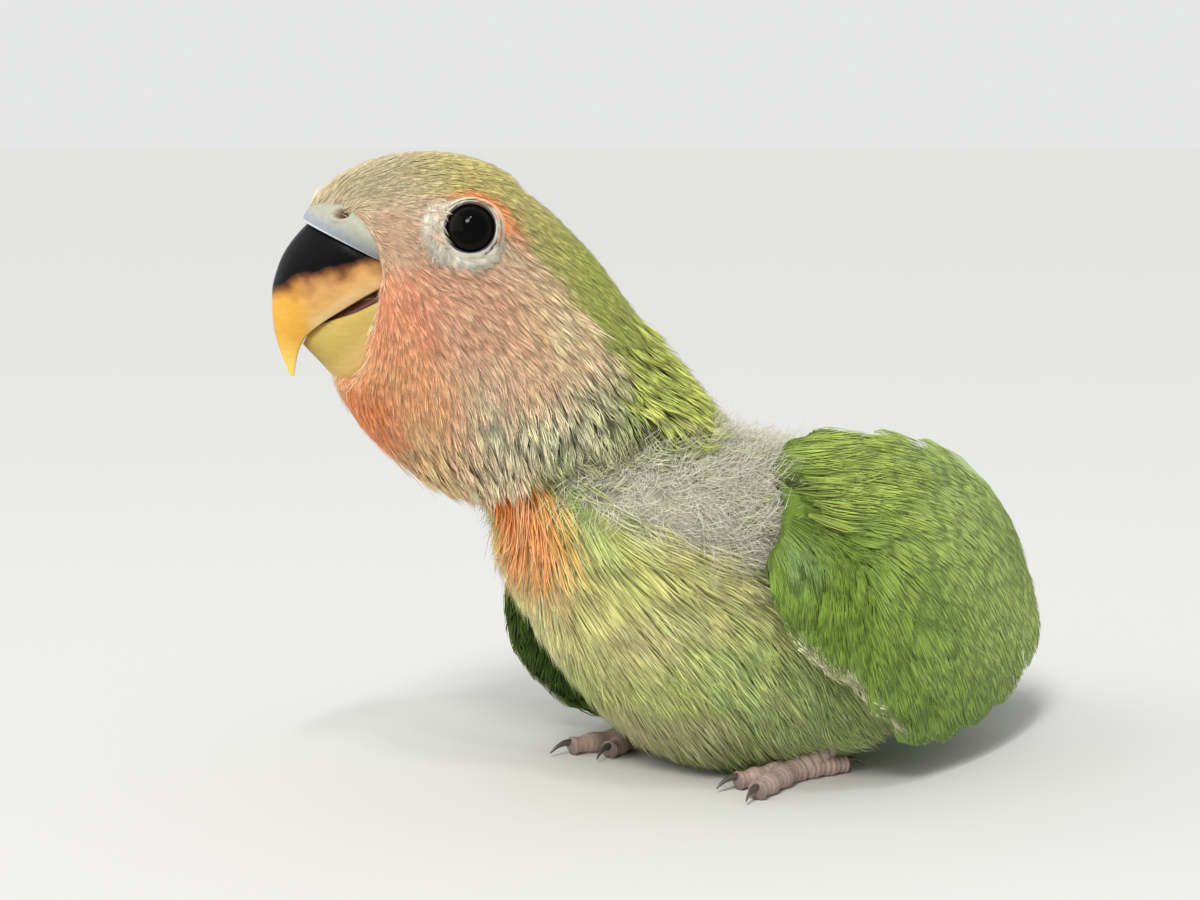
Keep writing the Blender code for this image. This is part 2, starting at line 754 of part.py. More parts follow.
def split_hood(hood: bpy.types.Object) -> tuple:
    """Parts the hood into head and neck by a thin cut across the throat and the nape."""
    station = HOOD[NECK_STATIONS]
    low, high = HEAD_PLANE.point(*station.low), HEAD_PLANE.point(*station.high)
    upwards = (high - low).cross(HEAD_PLANE.left).normalized()
    if upwards.z < 0:
        upwards.negate()
    neck = grown(hood, 0.0)
    keep_side(hood, low + upwards * GAP / 2, upwards)
    keep_side(neck, low - upwards * GAP / 2, -upwards)
    hood.name, neck.name = "head", "neck"
    return hood, neck


def build_bills(head: bpy.types.Object) -> tuple:
    """The hooked upper bill, the lower one behind it and the cere over the root, let into the face."""
    upper = loft("beak_upper", UPPER_BILL, HEAD_PLANE, 14, 18, EDGE_FLATNESS)
    lower = loft("beak_lower", LOWER_BILL, HEAD_PLANE, 9, 16, EDGE_FLATNESS)
    cere = loft("cere", CERE, HEAD_PLANE, 5, 18, EDGE_FLATNESS)
    for piece in (upper, lower, cere):
        cut_away(head, grown(piece))
    for side in (1, -1):
        along, up = NOSTRIL_PLACE
        hole = ball("nostril", HEAD_PLANE.point(along, up, 4.3 * side), (0.75, 0.75, 0.6), 6, 10)
        cut_away(cere, hole)
    cut_away(cere, grown(upper))
    cut_away(lower, grown(upper))
    return upper, lower, cere


def eye_axis(side: int) -> Vector:
    """The way an eye looks: aside, a little up and a little ahead."""
    ahead = HEAD_PLANE.forward * EYE_LOOKS_AHEAD
    return (HEAD_PLANE.left * side + Vector((0.0, 0.0, EYE_LOOKS_UP)) + ahead).normalized()


def build_eye(side: int) -> bpy.types.Object:
    """The eyeball, sunk behind the lids' opening."""
    along, up = EYE_PLACE
    centre = HEAD_PLANE.point(along, up, EYE_ASIDE * side) - eye_axis(side) * EYE_DEPTH
    return ball("eye_left" if side > 0 else "eye_right", centre, (EYE_RADIUS,) * 3, 10, 16)


def build_lid(side: int) -> bpy.types.Object:
    """The bare ring of skin round the eye."""
    along, up = EYE_PLACE
    centre = HEAD_PLANE.point(along, up, EYE_ASIDE * side)
    return ring_round("lid", centre, eye_axis(side), EYE_OPENING + LID_RING, LID_RING)


def main() -> None:
    """Builds every node."""
    clear_scene()
    torso = loft("torso", TORSO, BODY_PLANE, 20, 24)
    flatten_on_floor(torso)
    hood = loft("hood", HOOD, HEAD_PLANE, 22, 24)
    head, neck = split_hood(hood)
    head = fuse("head", [head] + [build_lid(side) for side in (1, -1)])
    eyes = [build_eye(side) for side in (1, -1)]
    for eye in eyes:
        cut_away(head, grown(eye))
    upper, lower, cere = build_bills(head)
    cut_away(torso, grown(neck))
    legs = [build_leg(side) for side in (1, -1)]
    feet = [build_foot(side) for side in (1, -1)]
    wings = [Wing(1, 0.0, 0.0).build(), Wing(-1, RIGHT_WING_DROOP, RIGHT_WING_DROP).build()]
    tail = build_tail()
    for leg in legs:
        cut_away(leg, grown(torso))
    for foot, leg in zip(feet, legs):
        cut_away(foot, grown(leg))
        cut_away(foot, grown(torso))
    for wing in wings:
        cut_away(wing, grown(torso))
        cut_away(wing, grown(neck))
    for wing, leg in zip(wings, legs):
        cut_away(leg, grown(wing))
    cut_away(tail, grown(torso))
    for solid in (head, neck, torso, tail, cere):
        finish(solid, solid.name)
    for solid in legs:
        finish(solid, "leg")
    for solid in feet:
        finish(solid, "foot")
    for solid in wings:
        finish(solid, "wing")
    for solid in eyes:
        finish(solid, "eye", 0.1)
    finish(upper, "beak_upper", 0.35)
    finish(lower, "beak_lower", 0.35)
    centre_on_floor([head, neck, torso, tail, upper, lower, cere, *legs, *feet, *wings, *eyes])


main()
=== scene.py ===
"""The looks of a peach faced lovebird chick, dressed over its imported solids.

The bird faces -Y, its left side is +X and up is +Z. Lengths are drawn in millimetres in the same drawing
that the solids were made in, and Drawing turns them into the frame's metres. One skin stands for head, neck,
torso and legs. The coat is tufts of flat tapered strands that follow the lie of the feathers over it, and the
wings and tail are tiers of vanes. Bills, cere, eyes, lids and feet are pieces of their own.
"""

from __future__ import annotations

import logging
import math
from collections.abc import Callable
from dataclasses import dataclass, field, replace
from enum import IntEnum

import bmesh
import bpy
import numpy as np
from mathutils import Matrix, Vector
from mathutils.bvhtree import BVHTree

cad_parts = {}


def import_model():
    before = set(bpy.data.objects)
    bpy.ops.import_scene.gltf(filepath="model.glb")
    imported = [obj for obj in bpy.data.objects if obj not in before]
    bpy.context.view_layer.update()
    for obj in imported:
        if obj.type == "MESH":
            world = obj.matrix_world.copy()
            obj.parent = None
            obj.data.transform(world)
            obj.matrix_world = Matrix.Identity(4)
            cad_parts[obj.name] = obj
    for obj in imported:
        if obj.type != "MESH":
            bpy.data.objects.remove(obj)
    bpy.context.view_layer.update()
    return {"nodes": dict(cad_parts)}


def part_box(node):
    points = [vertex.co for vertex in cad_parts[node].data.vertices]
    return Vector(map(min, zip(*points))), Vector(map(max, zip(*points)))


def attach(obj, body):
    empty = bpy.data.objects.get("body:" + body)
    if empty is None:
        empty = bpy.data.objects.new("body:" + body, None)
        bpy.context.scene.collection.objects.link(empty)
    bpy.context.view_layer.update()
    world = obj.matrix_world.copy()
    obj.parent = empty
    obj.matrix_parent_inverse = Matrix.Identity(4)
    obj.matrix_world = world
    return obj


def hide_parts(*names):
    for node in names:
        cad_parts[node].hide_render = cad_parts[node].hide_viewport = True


Array = np.ndarray
Colour = tuple[float, float, float]
Place = tuple[float, float, float]
Socket = bpy.types.NodeSocket
Surface = Callable[[Array, Array, Array], Array]

log = logging.getLogger("lovebird")
MM = 0.001
SEED = 11
BORDER_SPAN = 9.0
COAT_MAP = "OFBake"
VANE_MAP = "Vane"
TINT = "Plumage"
PIECE_LIMIT = 180000
TUFT_PATCH = 0.0015
NO_AREA = 1e-9


class Side(IntEnum):
    """A side of the bird, as a factor on lengths aside."""

    LEFT = 1
    RIGHT = -1

    @property
    def word(self) -> str:
        """The side in the names of pieces and nodes."""
        return self.name.lower()


def paint(red: int, green: int, blue: int) -> Colour:
    """A display colour of 0 to 255 as linear light.

    Args:
        red: Its red.
        green: Its green.
        blue: Its blue.

    Returns:
        The linear colour.
    """
    return tuple(
        value / 255 / 12.92 if value < 10.3 else ((value / 255 + 0.055) / 1.055) ** 2.4
        for value in (red, green, blue)
    )


def unit(vectors: Array) -> Array:
    """Vectors of length one."""
    return vectors / np.maximum(np.linalg.norm(vectors, axis=-1, keepdims=True), 1e-9)


def rise(values: Array, low: float, high: float) -> Array:
    """A smooth step from 0 at low to 1 at high."""
    share = np.clip((values - low) / (high - low), 0.0, 1.0)
    return share * share * (3.0 - 2.0 * share)


def blend(first: Array, second: Array, share: Array) -> Array:
    """First towards second by a share for each row."""
    return first + (np.asarray(second) - first) * share[..., None]


def repeated(row: Array | Colour, count: int) -> Array:
    """One row for each of many points."""
    return np.tile(row, (count, 1))


def turn_about(vectors: Array, axes: Array, angles: Array) -> Array:
    """Vectors that lie square to their axes, turned about them."""
    return vectors * np.cos(angles)[:, None] + np.cross(axes, vectors) * np.sin(angles)[:, None]


@dataclass(frozen=True)
class Plane:
    """An upright plane of the drawing, with its forward direction turned to the bird's right."""

    origin: tuple[float, float]
    turn: float

    @property
    def axes(self) -> Array:
        """Rows of forward, up and left."""
        angle = math.radians(self.turn)
        sine, cosine = math.sin(angle), math.cos(angle)
        return np.array([(-sine, -cosine, 0.0), (0.0, 0.0, 1.0), (cosine, -sine, 0.0)])

    def world(self, local: Array) -> Array:
        """Drawing points from rows of (along, up, aside)."""
        return np.asarray(local, float) @ self.axes + np.array([*self.origin, 0.0])

    def local(self, points: Array) -> Array:
        """Rows of (along, up, aside) from drawing points."""
        return (points - np.array([*self.origin, 0.0])) @ self.axes.T


BODY_PLANE = Plane((0.0, 0.0), 0.0)
HEAD_PLANE = Plane((0.0, -22.0), 40.0)
EYE_PLACE = (16.6, 60.4)
EYE_ASIDE = 10.4
EYE_RADIUS = 3.0
EYE_DEPTH = 2.0
EYE_LOOKS_UP = 0.22
EYE_LOOKS_AHEAD = 0.10
FLOOR = 2.5


def eye_axis(side: Side) -> Array:
    """The way an eye looks: aside, a little up and a little ahead."""
    forward, up, left = HEAD_PLANE.axes
    return unit(left * side + up * EYE_LOOKS_UP + forward * EYE_LOOKS_AHEAD)


def eye_opening(side: Side) -> Array:
    """The middle of the lids' opening."""
    return HEAD_PLANE.world((*EYE_PLACE, EYE_ASIDE * side))


@dataclass(frozen=True)
class Drawing:
    """The step between the drawing's millimetres and the frame's metres."""

    shift: Place

    @classmethod
    def from_eye(cls) -> Drawing:
        """Finds the step from the left eye, whose place is known in both."""
        low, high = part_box("eye_left")
        drawn = eye_opening(Side.LEFT) - eye_axis(Side.LEFT) * EYE_DEPTH
        return cls(tuple((np.array(low) + np.array(high)) / 2 / MM - drawn))

    def to_frame(self, points: Array) -> Array:
        """Frame points in metres."""
        return (points + np.array(self.shift)) * MM

    def to_drawing(self, points: Array) -> Array:
        """Drawing points in millimetres."""
        return points / MM - np.array(self.shift)


def deselect() -> None:
    """Leaves nothing selected."""
    if bpy.context.mode != "OBJECT":
        bpy.ops.object.mode_set(mode="OBJECT")
    bpy.ops.object.select_all(action="DESELECT")


def activate(piece: bpy.types.Object) -> None:
    """Selects one object alone and makes it active."""
    deselect()
    piece.select_set(True)
    bpy.context.view_layer.objects.active = piece


def put(name: str, data: bpy.types.ID) -> bpy.types.Object:
    """A new object of the scene from its data."""
    made = bpy.data.objects.new(name, data)
    bpy.context.scene.collection.objects.link(made)
    return made


def read_rows(mesh: bpy.types.Mesh, what: str) -> Array:
    """What each vertex of a mesh holds, such as co or normal, in rows of three.

    Args:
        mesh: The mesh.
        what: The name of the vertex's own property.

    Returns:
        The rows.
    """
    flat = np.zeros(len(mesh.vertices) * 3, np.float32)
    mesh.vertices.foreach_get(what, flat)
    return flat.reshape(-1, 3).astype(float)


@dataclass
class MeshData:
    """Points in millimetres, triangles, and what the vertices carry."""

    points: Array
    triangles: Array
    colours: Array | None = None
    coat_uv: Array | None = None
    vane_uv: Array | None = None

    @staticmethod
    def joined(parts: list[MeshData]) -> MeshData:
        """Many meshes as one.

        Args:
            parts: The meshes, which carry the same things.

        Returns:
            The mesh.
        """
        starts = np.cumsum([0] + [len(part.points) for part in parts])
        triangles = [part.triangles + start for part, start in zip(parts, starts)]

        def stack(name: str) -> Array | None:
            """One field of all the parts."""
            values = [getattr(part, name) for part in parts]
            return None if values[0] is None else np.concatenate(values)

        points = np.concatenate([part.points for part in parts])
        carried = [stack(name) for name in ("colours", "coat_uv", "vane_uv")]
        return MeshData(points, np.concatenate(triangles), *carried)


def add_mesh(name: str, data: MeshData, drawing: Drawing, material: bpy.types.Material) -> bpy.types.Object:
    """A mesh object at the origin, with its place in its mesh.

    Args:
        name: The piece's name.
        data: Its points, triangles, colours and maps.
        drawing: The step from the drawing to the frame.
        material: Its finish.

    Returns:
        The new object, which rides on the bird's one body.
    """
    mesh = bpy.data.meshes.new(name)
    count = len(data.triangles)
    mesh.vertices.add(len(data.points))
    mesh.vertices.foreach_set("co", drawing.to_frame(data.points).astype(np.float32).ravel())
    mesh.loops.add(count * 3)
    mesh.loops.foreach_set("vertex_index", data.triangles.astype(np.int32).ravel())
    mesh.polygons.add(count)
    mesh.polygons.foreach_set("loop_start", np.arange(0, count * 3, 3, dtype=np.int32))
    mesh.polygons.foreach_set("use_smooth", np.ones(count, bool))
    mesh.update(calc_edges=True)
    if data.colours is not None:
        set_tint(mesh, data.colours)
    for map_name, values in ((COAT_MAP, data.coat_uv), (VANE_MAP, data.vane_uv)):
        if values is not None:
            layer = mesh.uv_layers.new(name=map_name)
            layer.data.foreach_set("uv", values[data.triangles.ravel()].astype(np.float32).ravel())
    mesh.materials.append(material)
    piece = put(name, mesh)
    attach(piece, "root")
    return piece


def set_tint(mesh: bpy.types.Mesh, colours: Array, name: str = TINT) -> None:
    """Stores a linear colour at each vertex.

    Args:
        mesh: The mesh.
        colours: A row for each vertex.
        name: The attribute's name.
    """
    layer = mesh.attributes.new(name, "FLOAT_COLOR", "POINT")
    rows = np.concatenate([np.clip(colours, 0.0, 1.0), np.ones((len(colours), 1))], 1)
    layer.data.foreach_set("color", rows.astype(np.float32).ravel())


def grid_triangles(rows: int, columns: int, closed: bool = False) -> Array:
    """Triangles of a grid of points, whose rows may close on themselves.

    Args:
        rows: How many rows it has.
        columns: How many points a row has.
        closed: Whether a row's last point joins its first.

    Returns:
        The triangles.
    """
    steps = columns if closed else columns - 1
    row, column = np.meshgrid(np.arange(rows - 1), np.arange(steps), indexing="ij")
    beside = (column + 1) % columns
    near, next_near = row * columns + column, row * columns + beside
    far, next_far = near + columns, next_near + columns
    first = np.stack([near, next_near, next_far], -1).reshape(-1, 3)
    second = np.stack([near, next_far, far], -1).reshape(-1, 3)
    return np.concatenate([first, second])


def fan(ring: int, sides: int, tip: int) -> Array:
    """Triangles between a ring of a closed grid and a tip beyond it.

    Args:
        ring: The ring's number. The first one's triangles face the other way.
        sides: How many points a ring has.
        tip: The tip's own number.

    Returns:
        The triangles.
    """
    side = np.arange(sides)
    triangles = np.stack([ring * sides + side, ring * sides + (side + 1) % sides, np.full(sides, tip)], 1)
    return triangles if ring else triangles[:, ::-1]


def crosses(points: Array, triangles: Array) -> Array:
    """The way each triangle faces, with twice its area for length."""
    corners = points[triangles]
    return np.cross(corners[:, 1] - corners[:, 0], corners[:, 2] - corners[:, 0])


def turned_outwards(points: Array, triangles: Array) -> Array:
    """The triangles of a closed surface, turned round if they enclose a negative volume.

    Args:
        points: The surface's points.
        triangles: Its triangles.

    Returns:
        The triangles, facing outwards.
    """
    corners = points[triangles] - points.mean(0)
    volume = np.einsum("ij,ij->i", corners[:, 0], np.cross(corners[:, 1], corners[:, 2])).sum()
    return triangles if volume > 0 else triangles[:, ::-1]


class Graph:
    """One material and a short way to add and join its nodes."""

    def __init__(self, name: str) -> None:
        """Makes an empty finish.

        Args:
            name: The material's name.
        """
        self.material = bpy.data.materials.new(name)
        self.material.use_nodes = True
        self.tree = self.material.node_tree
        self.shader = self.tree.nodes["Principled BSDF"]

    def add(self, kind: str, values: dict | None = None, **settings: object) -> bpy.types.Node:
        """A new node with settings, and values or links for its inputs.

        Args:
            kind: The node's type, without its first word.
            values: What its inputs get, by name or number.
            **settings: Its own properties.

        Returns:
            The node.
        """
        node = self.tree.nodes.new("ShaderNode" + kind)
        for key, setting in settings.items():
            setattr(node, key, setting)
        for key, value in (values or {}).items():
            self.feed(value, node.inputs[key])
        return node

    def feed(self, value: object, socket: Socket) -> None:
        """Links a socket to another, or sets its own value.

        Args:
            value: A socket to link from, or a value.
            socket: The input.
        """
        if isinstance(value, Socket):
            self.tree.links.new(value, socket)
        else:
            socket.default_value = value

    def sum(self, operation: str, first: object, second: object = 0.0) -> Socket:
        """The result of a Math node."""
        return self.add("Math", {0: first, 1: second}, operation=operation).outputs[0]

    def mix(self, share: object, first: object, second: object, way: str = "MIX") -> Socket:
        """The result of mixing two colours."""
        node = self.add("Mix", {0: share, 6: first, 7: second}, data_type="RGBA", blend_type=way)
        return node.outputs[2]

    def ranged(self, value: object, low: float, high: float, to_low: float, to_high: float) -> Socket:
        """A value moved from one range to another, and kept inside it."""
        node = self.add("MapRange", {0: value, 1: low, 2: high, 3: to_low, 4: to_high})
        return node.outputs[0]

    def noise(self, scale: float, detail: float = 3.0, stretch: Place = (1.0, 1.0, 1.0)) -> Socket:
        """Noise over the object's own coordinates, in metres.

        Args:
            scale: How fine it is.
            detail: Its levels of detail.
            stretch: A factor on each axis.

        Returns:
            Values of about 0.2 to 0.8.
        """
        place = self.add("TexCoord").outputs["Object"]
        spread = self.add("Mapping", {"Vector": place, "Scale": stretch}).outputs[0]
        return self.add("TexNoise", {"Vector": spread, "Scale": scale, "Detail": detail}).outputs[0]

    def bump(self, height: object, strength: float, distance: float) -> None:
        """Raises the surface by a height."""
        node = self.add("Bump", {"Height": height, "Strength": strength, "Distance": distance})
        self.feed(node.outputs[0], self.shader.inputs["Normal"])

    def surface(self, **values: object) -> bpy.types.Material:
        """Sets the shader's own sockets by their names, with _ for a space."""
        for key, value in values.items():
            self.feed(value, self.shader.inputs[key.replace("_", " ")])
        return self.material


@dataclass(frozen=True)
class TintFinish:
    """A finish that takes its colour from the piece's own tint, with fine mottling."""

    roughness: float = 0.7
    sheen: float = 0.2
    specular: float = 0.3
    mottle: float = 0.10
    mottle_scale: float = 900.0
    bump: float = 0.0
    subsurface: float = 0.0

    def make(self, name: str) -> bpy.types.Material:
        """The material.

        Args:
            name: The material's name.

        Returns:
            The new material.
        """
        graph = Graph(name)
        tint = graph.add("Attribute", attribute_name=TINT).outputs["Color"]
        mottle = graph.noise(self.mottle_scale)
        shade = graph.ranged(mottle, 0.25, 0.75, 1.0 - self.mottle, 1.0 + self.mottle)
        colour = graph.mix(1.0, tint, shade, "MULTIPLY")
        if self.bump:
            graph.bump(graph.noise(self.mottle_scale * 2.5), self.bump, 0.0001)
        if self.subsurface:
            graph.shader.subsurface_method = "RANDOM_WALK"
            graph.surface(Subsurface_Weight=self.subsurface, Subsurface_Scale=0.0008)
        return graph.surface(
            Base_Color=colour,
            Roughness=self.roughness,
            Sheen_Weight=self.sheen,
            Sheen_Roughness=0.45,
            Specular_IOR_Level=self.specular,
        )


@dataclass(frozen=True)
class VaneFinish:
    """Feather vanes: fine slanting barbs on both sides of a shaft. The map holds millimetres."""

    barb_gap: float = 0.34
    barb_depth: float = 0.13
    shaft_half_width: float = 0.07
    roughness: float = 0.6

    def make(self, name: str) -> bpy.types.Material:
        """The material.

        Args:
            name: The material's name.

        Returns:
            The new material.
        """
        graph = Graph(name)
        tint = graph.add("Attribute", attribute_name=TINT).outputs["Color"]
        place = graph.add("UVMap", uv_map=VANE_MAP).outputs[0]
        flat = graph.add("SeparateXYZ", {0: place})
        aside = graph.sum("ABSOLUTE", flat.outputs[0])
        waver = graph.ranged(graph.noise(450.0), 0.2, 0.8, -0.35, 0.35)
        slant = graph.sum("SUBTRACT", flat.outputs[1], graph.sum("MULTIPLY", aside, 0.9))
        phase = graph.sum("MULTIPLY", graph.sum("ADD", slant, waver), 2 * math.pi / self.barb_gap)
        barbs = graph.sum("SINE", phase)
        shade = graph.ranged(barbs, -1.0, 1.0, 1.0 - self.barb_depth, 1.0 + self.barb_depth)
        blotch = graph.ranged(graph.noise(260.0, 4.0), 0.25, 0.75, 0.86, 1.12)
        colour = graph.mix(1.0, graph.mix(1.0, tint, shade, "MULTIPLY"), blotch, "MULTIPLY")
        shaft = graph.ranged(aside, self.shaft_half_width, self.shaft_half_width * 1.8, 0.45, 0.0)
        colour = graph.mix(shaft, colour, (0.05, 0.07, 0.015, 1.0))
        graph.bump(barbs, 0.25, 0.00005)
        return graph.surface(
            Base_Color=colour, Roughness=self.roughness, Sheen_Weight=0.15, Specular_IOR_Level=0.35
        )


@dataclass(frozen=True)
class BillFinish:
    """Worn horn with its own tint, and black horn above a wavering translucent brown border.

    The Border attribute is the height above the border, as a share of BORDER_SPAN, with 0.5 on it.
    """

    roughness: float = 0.32
    black: Colour = paint(4, 4, 7)
    brown: Colour = paint(122, 62, 38)
    has_border: bool = True

    def make(self, name: str) -> bpy.types.Material:
        """The material.

        Args:
            name: The material's name.

        Returns:
            The new material.
        """
        graph = Graph(name)
        tint = graph.add("Attribute", attribute_name=TINT).outputs["Color"]
        growth = graph.noise(900.0, 4.0, (1.0, 1.0, 3.0))
        colour = graph.mix(1.0, tint, graph.ranged(growth, 0.3, 0.7, 0.93, 1.05), "MULTIPLY")
        if self.has_border:
            border = graph.add("Attribute", attribute_name="Border").outputs["Fac"]
            streaks = graph.ranged(graph.noise(1200.0, 2.0), 0.3, 0.7, -0.014, 0.014)
            broad = graph.ranged(graph.noise(330.0, 1.0), 0.3, 0.7, -0.075, 0.075)
            place = graph.sum("ADD", graph.sum("ADD", border, streaks), broad)
            colour = graph.mix(graph.ranged(place, 0.36, 0.54, 0.0, 0.85), colour, (*self.brown, 1.0))
            colour = graph.mix(graph.ranged(place, 0.46, 0.60, 0.0, 1.0), colour, (*self.black, 1.0))
        scuffs = graph.noise(2600.0, 3.0)
        graph.bump(scuffs, 0.10, 0.00005)
        roughness = graph.ranged(scuffs, 0.3, 0.8, self.roughness - 0.06, self.roughness + 0.14)
        graph.shader.subsurface_method = "RANDOM_WALK"
        return graph.surface(
            Base_Color=colour,
            Roughness=roughness,
            Specular_IOR_Level=0.08,
            Subsurface_Weight=0.08,
            Subsurface_Scale=0.0005,
        )


@dataclass(frozen=True)
class EyeFinish:
    """A wet dark eye: a black pupil in a brown iris."""

    iris: Colour = paint(18, 12, 10)
    rim: Colour = paint(5, 4, 5)

    def make(self, name: str) -> bpy.types.Material:
        """The material.

        Args:
            name: The material's name.

        Returns:
            The new material.
        """
        graph = Graph(name)
        pole = graph.add("Attribute", attribute_name="Pole").outputs["Fac"]
        ramp = graph.add("ValToRGB", {0: pole})
        elements = ramp.color_ramp.elements
        black = (0.0006, 0.0006, 0.0008, 1.0)
        iris, rim = (*self.iris, 1.0), (*self.rim, 1.0)
        stops = ((0.0, black), (0.47, black), (0.53, iris), (0.62, iris), (0.70, rim))
        while len(elements) < len(stops):
            elements.new(0.5)
        for element, (position, colour) in zip(elements, stops):
            element.position = position
            element.color = colour
        return graph.surface(Base_Color=ramp.outputs[0], Roughness=0.02, Specular_IOR_Level=0.07)


@dataclass(frozen=True)
class FloorFinish:
    """A plain pale floor."""

    colour: Colour = paint(200, 200, 198)

    def make(self, name: str) -> bpy.types.Material:
        """The material.

        Args:
            name: The material's name.

        Returns:
            The new material.
        """
        graph = Graph(name)
        graph.bump(graph.noise(220.0, 2.0), 0.04, 0.0005)
        return graph.surface(Base_Color=(*self.colour, 1.0), Roughness=0.85, Specular_IOR_Level=0.2)


@dataclass(frozen=True)
class Lie:
    """How the feathers lie at a place of a plane: 0 is straight back, 90 is down, outward is away from it."""

    along: float
    up: float
    angle: float
    outward: float = 0.0


HEAD_LIES = (
    Lie(30.0, 63.5, -30.0, 0.1), Lie(26.0, 66.0, -10.0, 0.1), Lie(20.0, 68.0, 4.0, 0.1),
    Lie(13.5, 64.5, 28.0, 0.1), Lie(8.0, 60.0, 45.0, 0.05), Lie(3.0, 54.0, 52.0), Lie(-3.0, 46.0, 50.0),
    Lie(-8.0, 40.0, 38.0), Lie(25.0, 60.5, 20.0, 0.3), Lie(22.0, 57.0, 38.0, 0.3),
    Lie(18.5, 55.0, 35.0, 0.2), Lie(10.5, 58.0, 35.0, 0.1), Lie(23.0, 53.0, 68.0, 0.3),
    Lie(19.0, 50.5, 58.0, 0.2), Lie(13.0, 50.0, 46.0, 0.1), Lie(7.0, 50.0, 47.0),
    Lie(26.0, 50.0, 98.0, 0.2), Lie(28.0, 45.5, 112.0), Lie(24.0, 43.0, 84.0, 0.1),
    Lie(20.0, 39.0, 74.0), Lie(26.0, 40.0, 64.0), Lie(15.0, 37.5, 76.0), Lie(10.0, 38.5, 80.0),
    Lie(12.0, 44.0, 70.0), Lie(5.0, 43.0, 66.0), Lie(2.0, 39.0, 66.0), Lie(-3.0, 41.0, 52.0),
    Lie(8.0, 34.0, 84.0),
)
BODY_LIES = (
    Lie(35.5, 31.0, 68.0, 0.45), Lie(34.0, 25.0, 72.0, 0.5), Lie(31.0, 31.0, 22.0, 0.25),
    Lie(29.0, 25.0, 38.0, 0.25), Lie(25.0, 20.0, 45.0, 0.2), Lie(24.0, 27.0, 24.0, 0.1),
    Lie(20.0, 14.0, 52.0, 0.1), Lie(29.0, 14.0, 62.0, 0.35), Lie(14.0, 12.0, 56.0, 0.1),
    Lie(5.0, 14.0, 50.0), Lie(-5.0, 12.0, 40.0), Lie(18.0, 6.0, 55.0, 0.1), Lie(8.0, 1.0, 4.0),
    Lie(-6.0, 1.0, 0.0), Lie(20.0, 38.0, 10.0, 0.3), Lie(5.0, 38.0, 5.0, 0.2),
    Lie(-10.0, 34.0, 12.0, 0.1), Lie(-22.0, 27.0, 25.0), Lie(-28.0, 20.0, 30.0),
    Lie(-24.0, 10.0, -15.0),
)


def combed(points: Array, plane: Plane, lies: tuple[Lie, ...]) -> Array:
    """The lie at each drawing point, blended from the lies near it.

    Args:
        points: Rows of drawing points.
        plane: The plane whose two sides the lies are given for.
        lies: The given lies.

    Returns:
        Rows of unit vectors, not yet laid on a surface.
    """
    local = plane.local(points)
    weights = np.zeros((len(points), len(lies)))
    vectors = np.zeros((len(lies), 3))
    for index, lie in enumerate(lies):
        square = (local[:, 0] - lie.along) ** 2 + (local[:, 1] - lie.up) ** 2
        weights[:, index] = 1.0 / (square + 3.0) ** 2
        angle = math.radians(lie.angle)
        vectors[index] = (-math.cos(angle), -math.sin(angle), lie.outward)
    mixed = weights @ vectors / weights.sum(1, keepdims=True)
    mixed[:, 2] *= np.tanh(local[:, 2] / 3.0)
    return unit(mixed @ plane.axes)


@dataclass(frozen=True)
class Dab:
    """One soft touch of colour at a place of a plane, on both of its sides.

    The third reach is the one aside, and 0 there lets the dab go right through the body.
    """

    along: float
    up: float
    reach: Place
    colour: Colour
    strength: float = 1.0
    aside: float = 0.0
    both_sides: bool = True

    def cover(self, local: Array) -> Array:
        """How much of the dab each point takes.

        Args:
            local: Rows of the dab's plane.

        Returns:
            A share for each.
        """
        square = ((local[:, 0] - self.along) / self.reach[0]) ** 2
        square = square + ((local[:, 1] - self.up) / self.reach[1]) ** 2
        if self.reach[2]:
            across = np.abs(local[:, 2]) if self.both_sides else local[:, 2]
            square = square + ((across - self.aside) / self.reach[2]) ** 2
        return self.strength * (1.0 - rise(np.sqrt(square), 0.45, 1.3))


@dataclass(frozen=True)
class Patches:
    """Slow seeded variation over places, mostly between -1 and 1."""

    size: float
    seed: int
    waves: int = 9

    def at(self, points: Array) -> Array:
        """The variation at each point.

        Args:
            points: Rows of drawing points.

        Returns:
            A number for each.
        """
        chance = np.random.default_rng(self.seed)
        ways = unit(chance.normal(size=(self.waves, 3))) * chance.uniform(0.6, 1.5, (self.waves, 1))
        phases = chance.uniform(0.0, 2 * math.pi, self.waves)
        return np.sin(points @ ways.T * 2 * math.pi / self.size + phases).sum(1) / math.sqrt(self.waves)


THROAT_DAB = 7
HOOD_BASE = paint(228, 206, 172)
HOOD_DABS = (
    Dab(2.0, 40.5, (9.0, 7.5, 0.0), paint(132, 144, 72)),
    Dab(10.0, 42.0, (7.0, 6.0, 0.0), paint(196, 194, 156)),
    Dab(6.0, 37.0, (6.0, 4.5, 0.0), paint(138, 146, 82), 0.8),
    Dab(10.0, 52.0, (6.5, 6.0, 0.0), paint(255, 220, 172)),
    Dab(19.5, 53.0, (8.0, 7.0, 0.0), paint(240, 182, 144)),
    Dab(12.0, 47.0, (4.0, 4.0, 0.0), paint(248, 196, 156), 0.7),
    Dab(23.5, 51.0, (4.0, 6.0, 0.0), paint(250, 164, 118)),
    Dab(24.0, 43.5, (7.0, 6.5, 0.0), paint(255, 182, 118)),
    Dab(21.0, 38.0, (5.5, 5.0, 0.0), paint(255, 204, 148), 0.9),
    Dab(15.0, 37.5, (4.5, 4.0, 0.0), paint(252, 224, 188), 0.8),
    Dab(28.8, 46.4, (2.0, 2.4, 0.0), paint(236, 206, 164), 0.8),
    Dab(27.6, 41.2, (4.4, 4.8, 0.0), paint(255, 146, 76), 0.9),
    Dab(24.5, 59.5, (4.0, 3.2, 0.0), paint(214, 178, 144), 0.9),
)
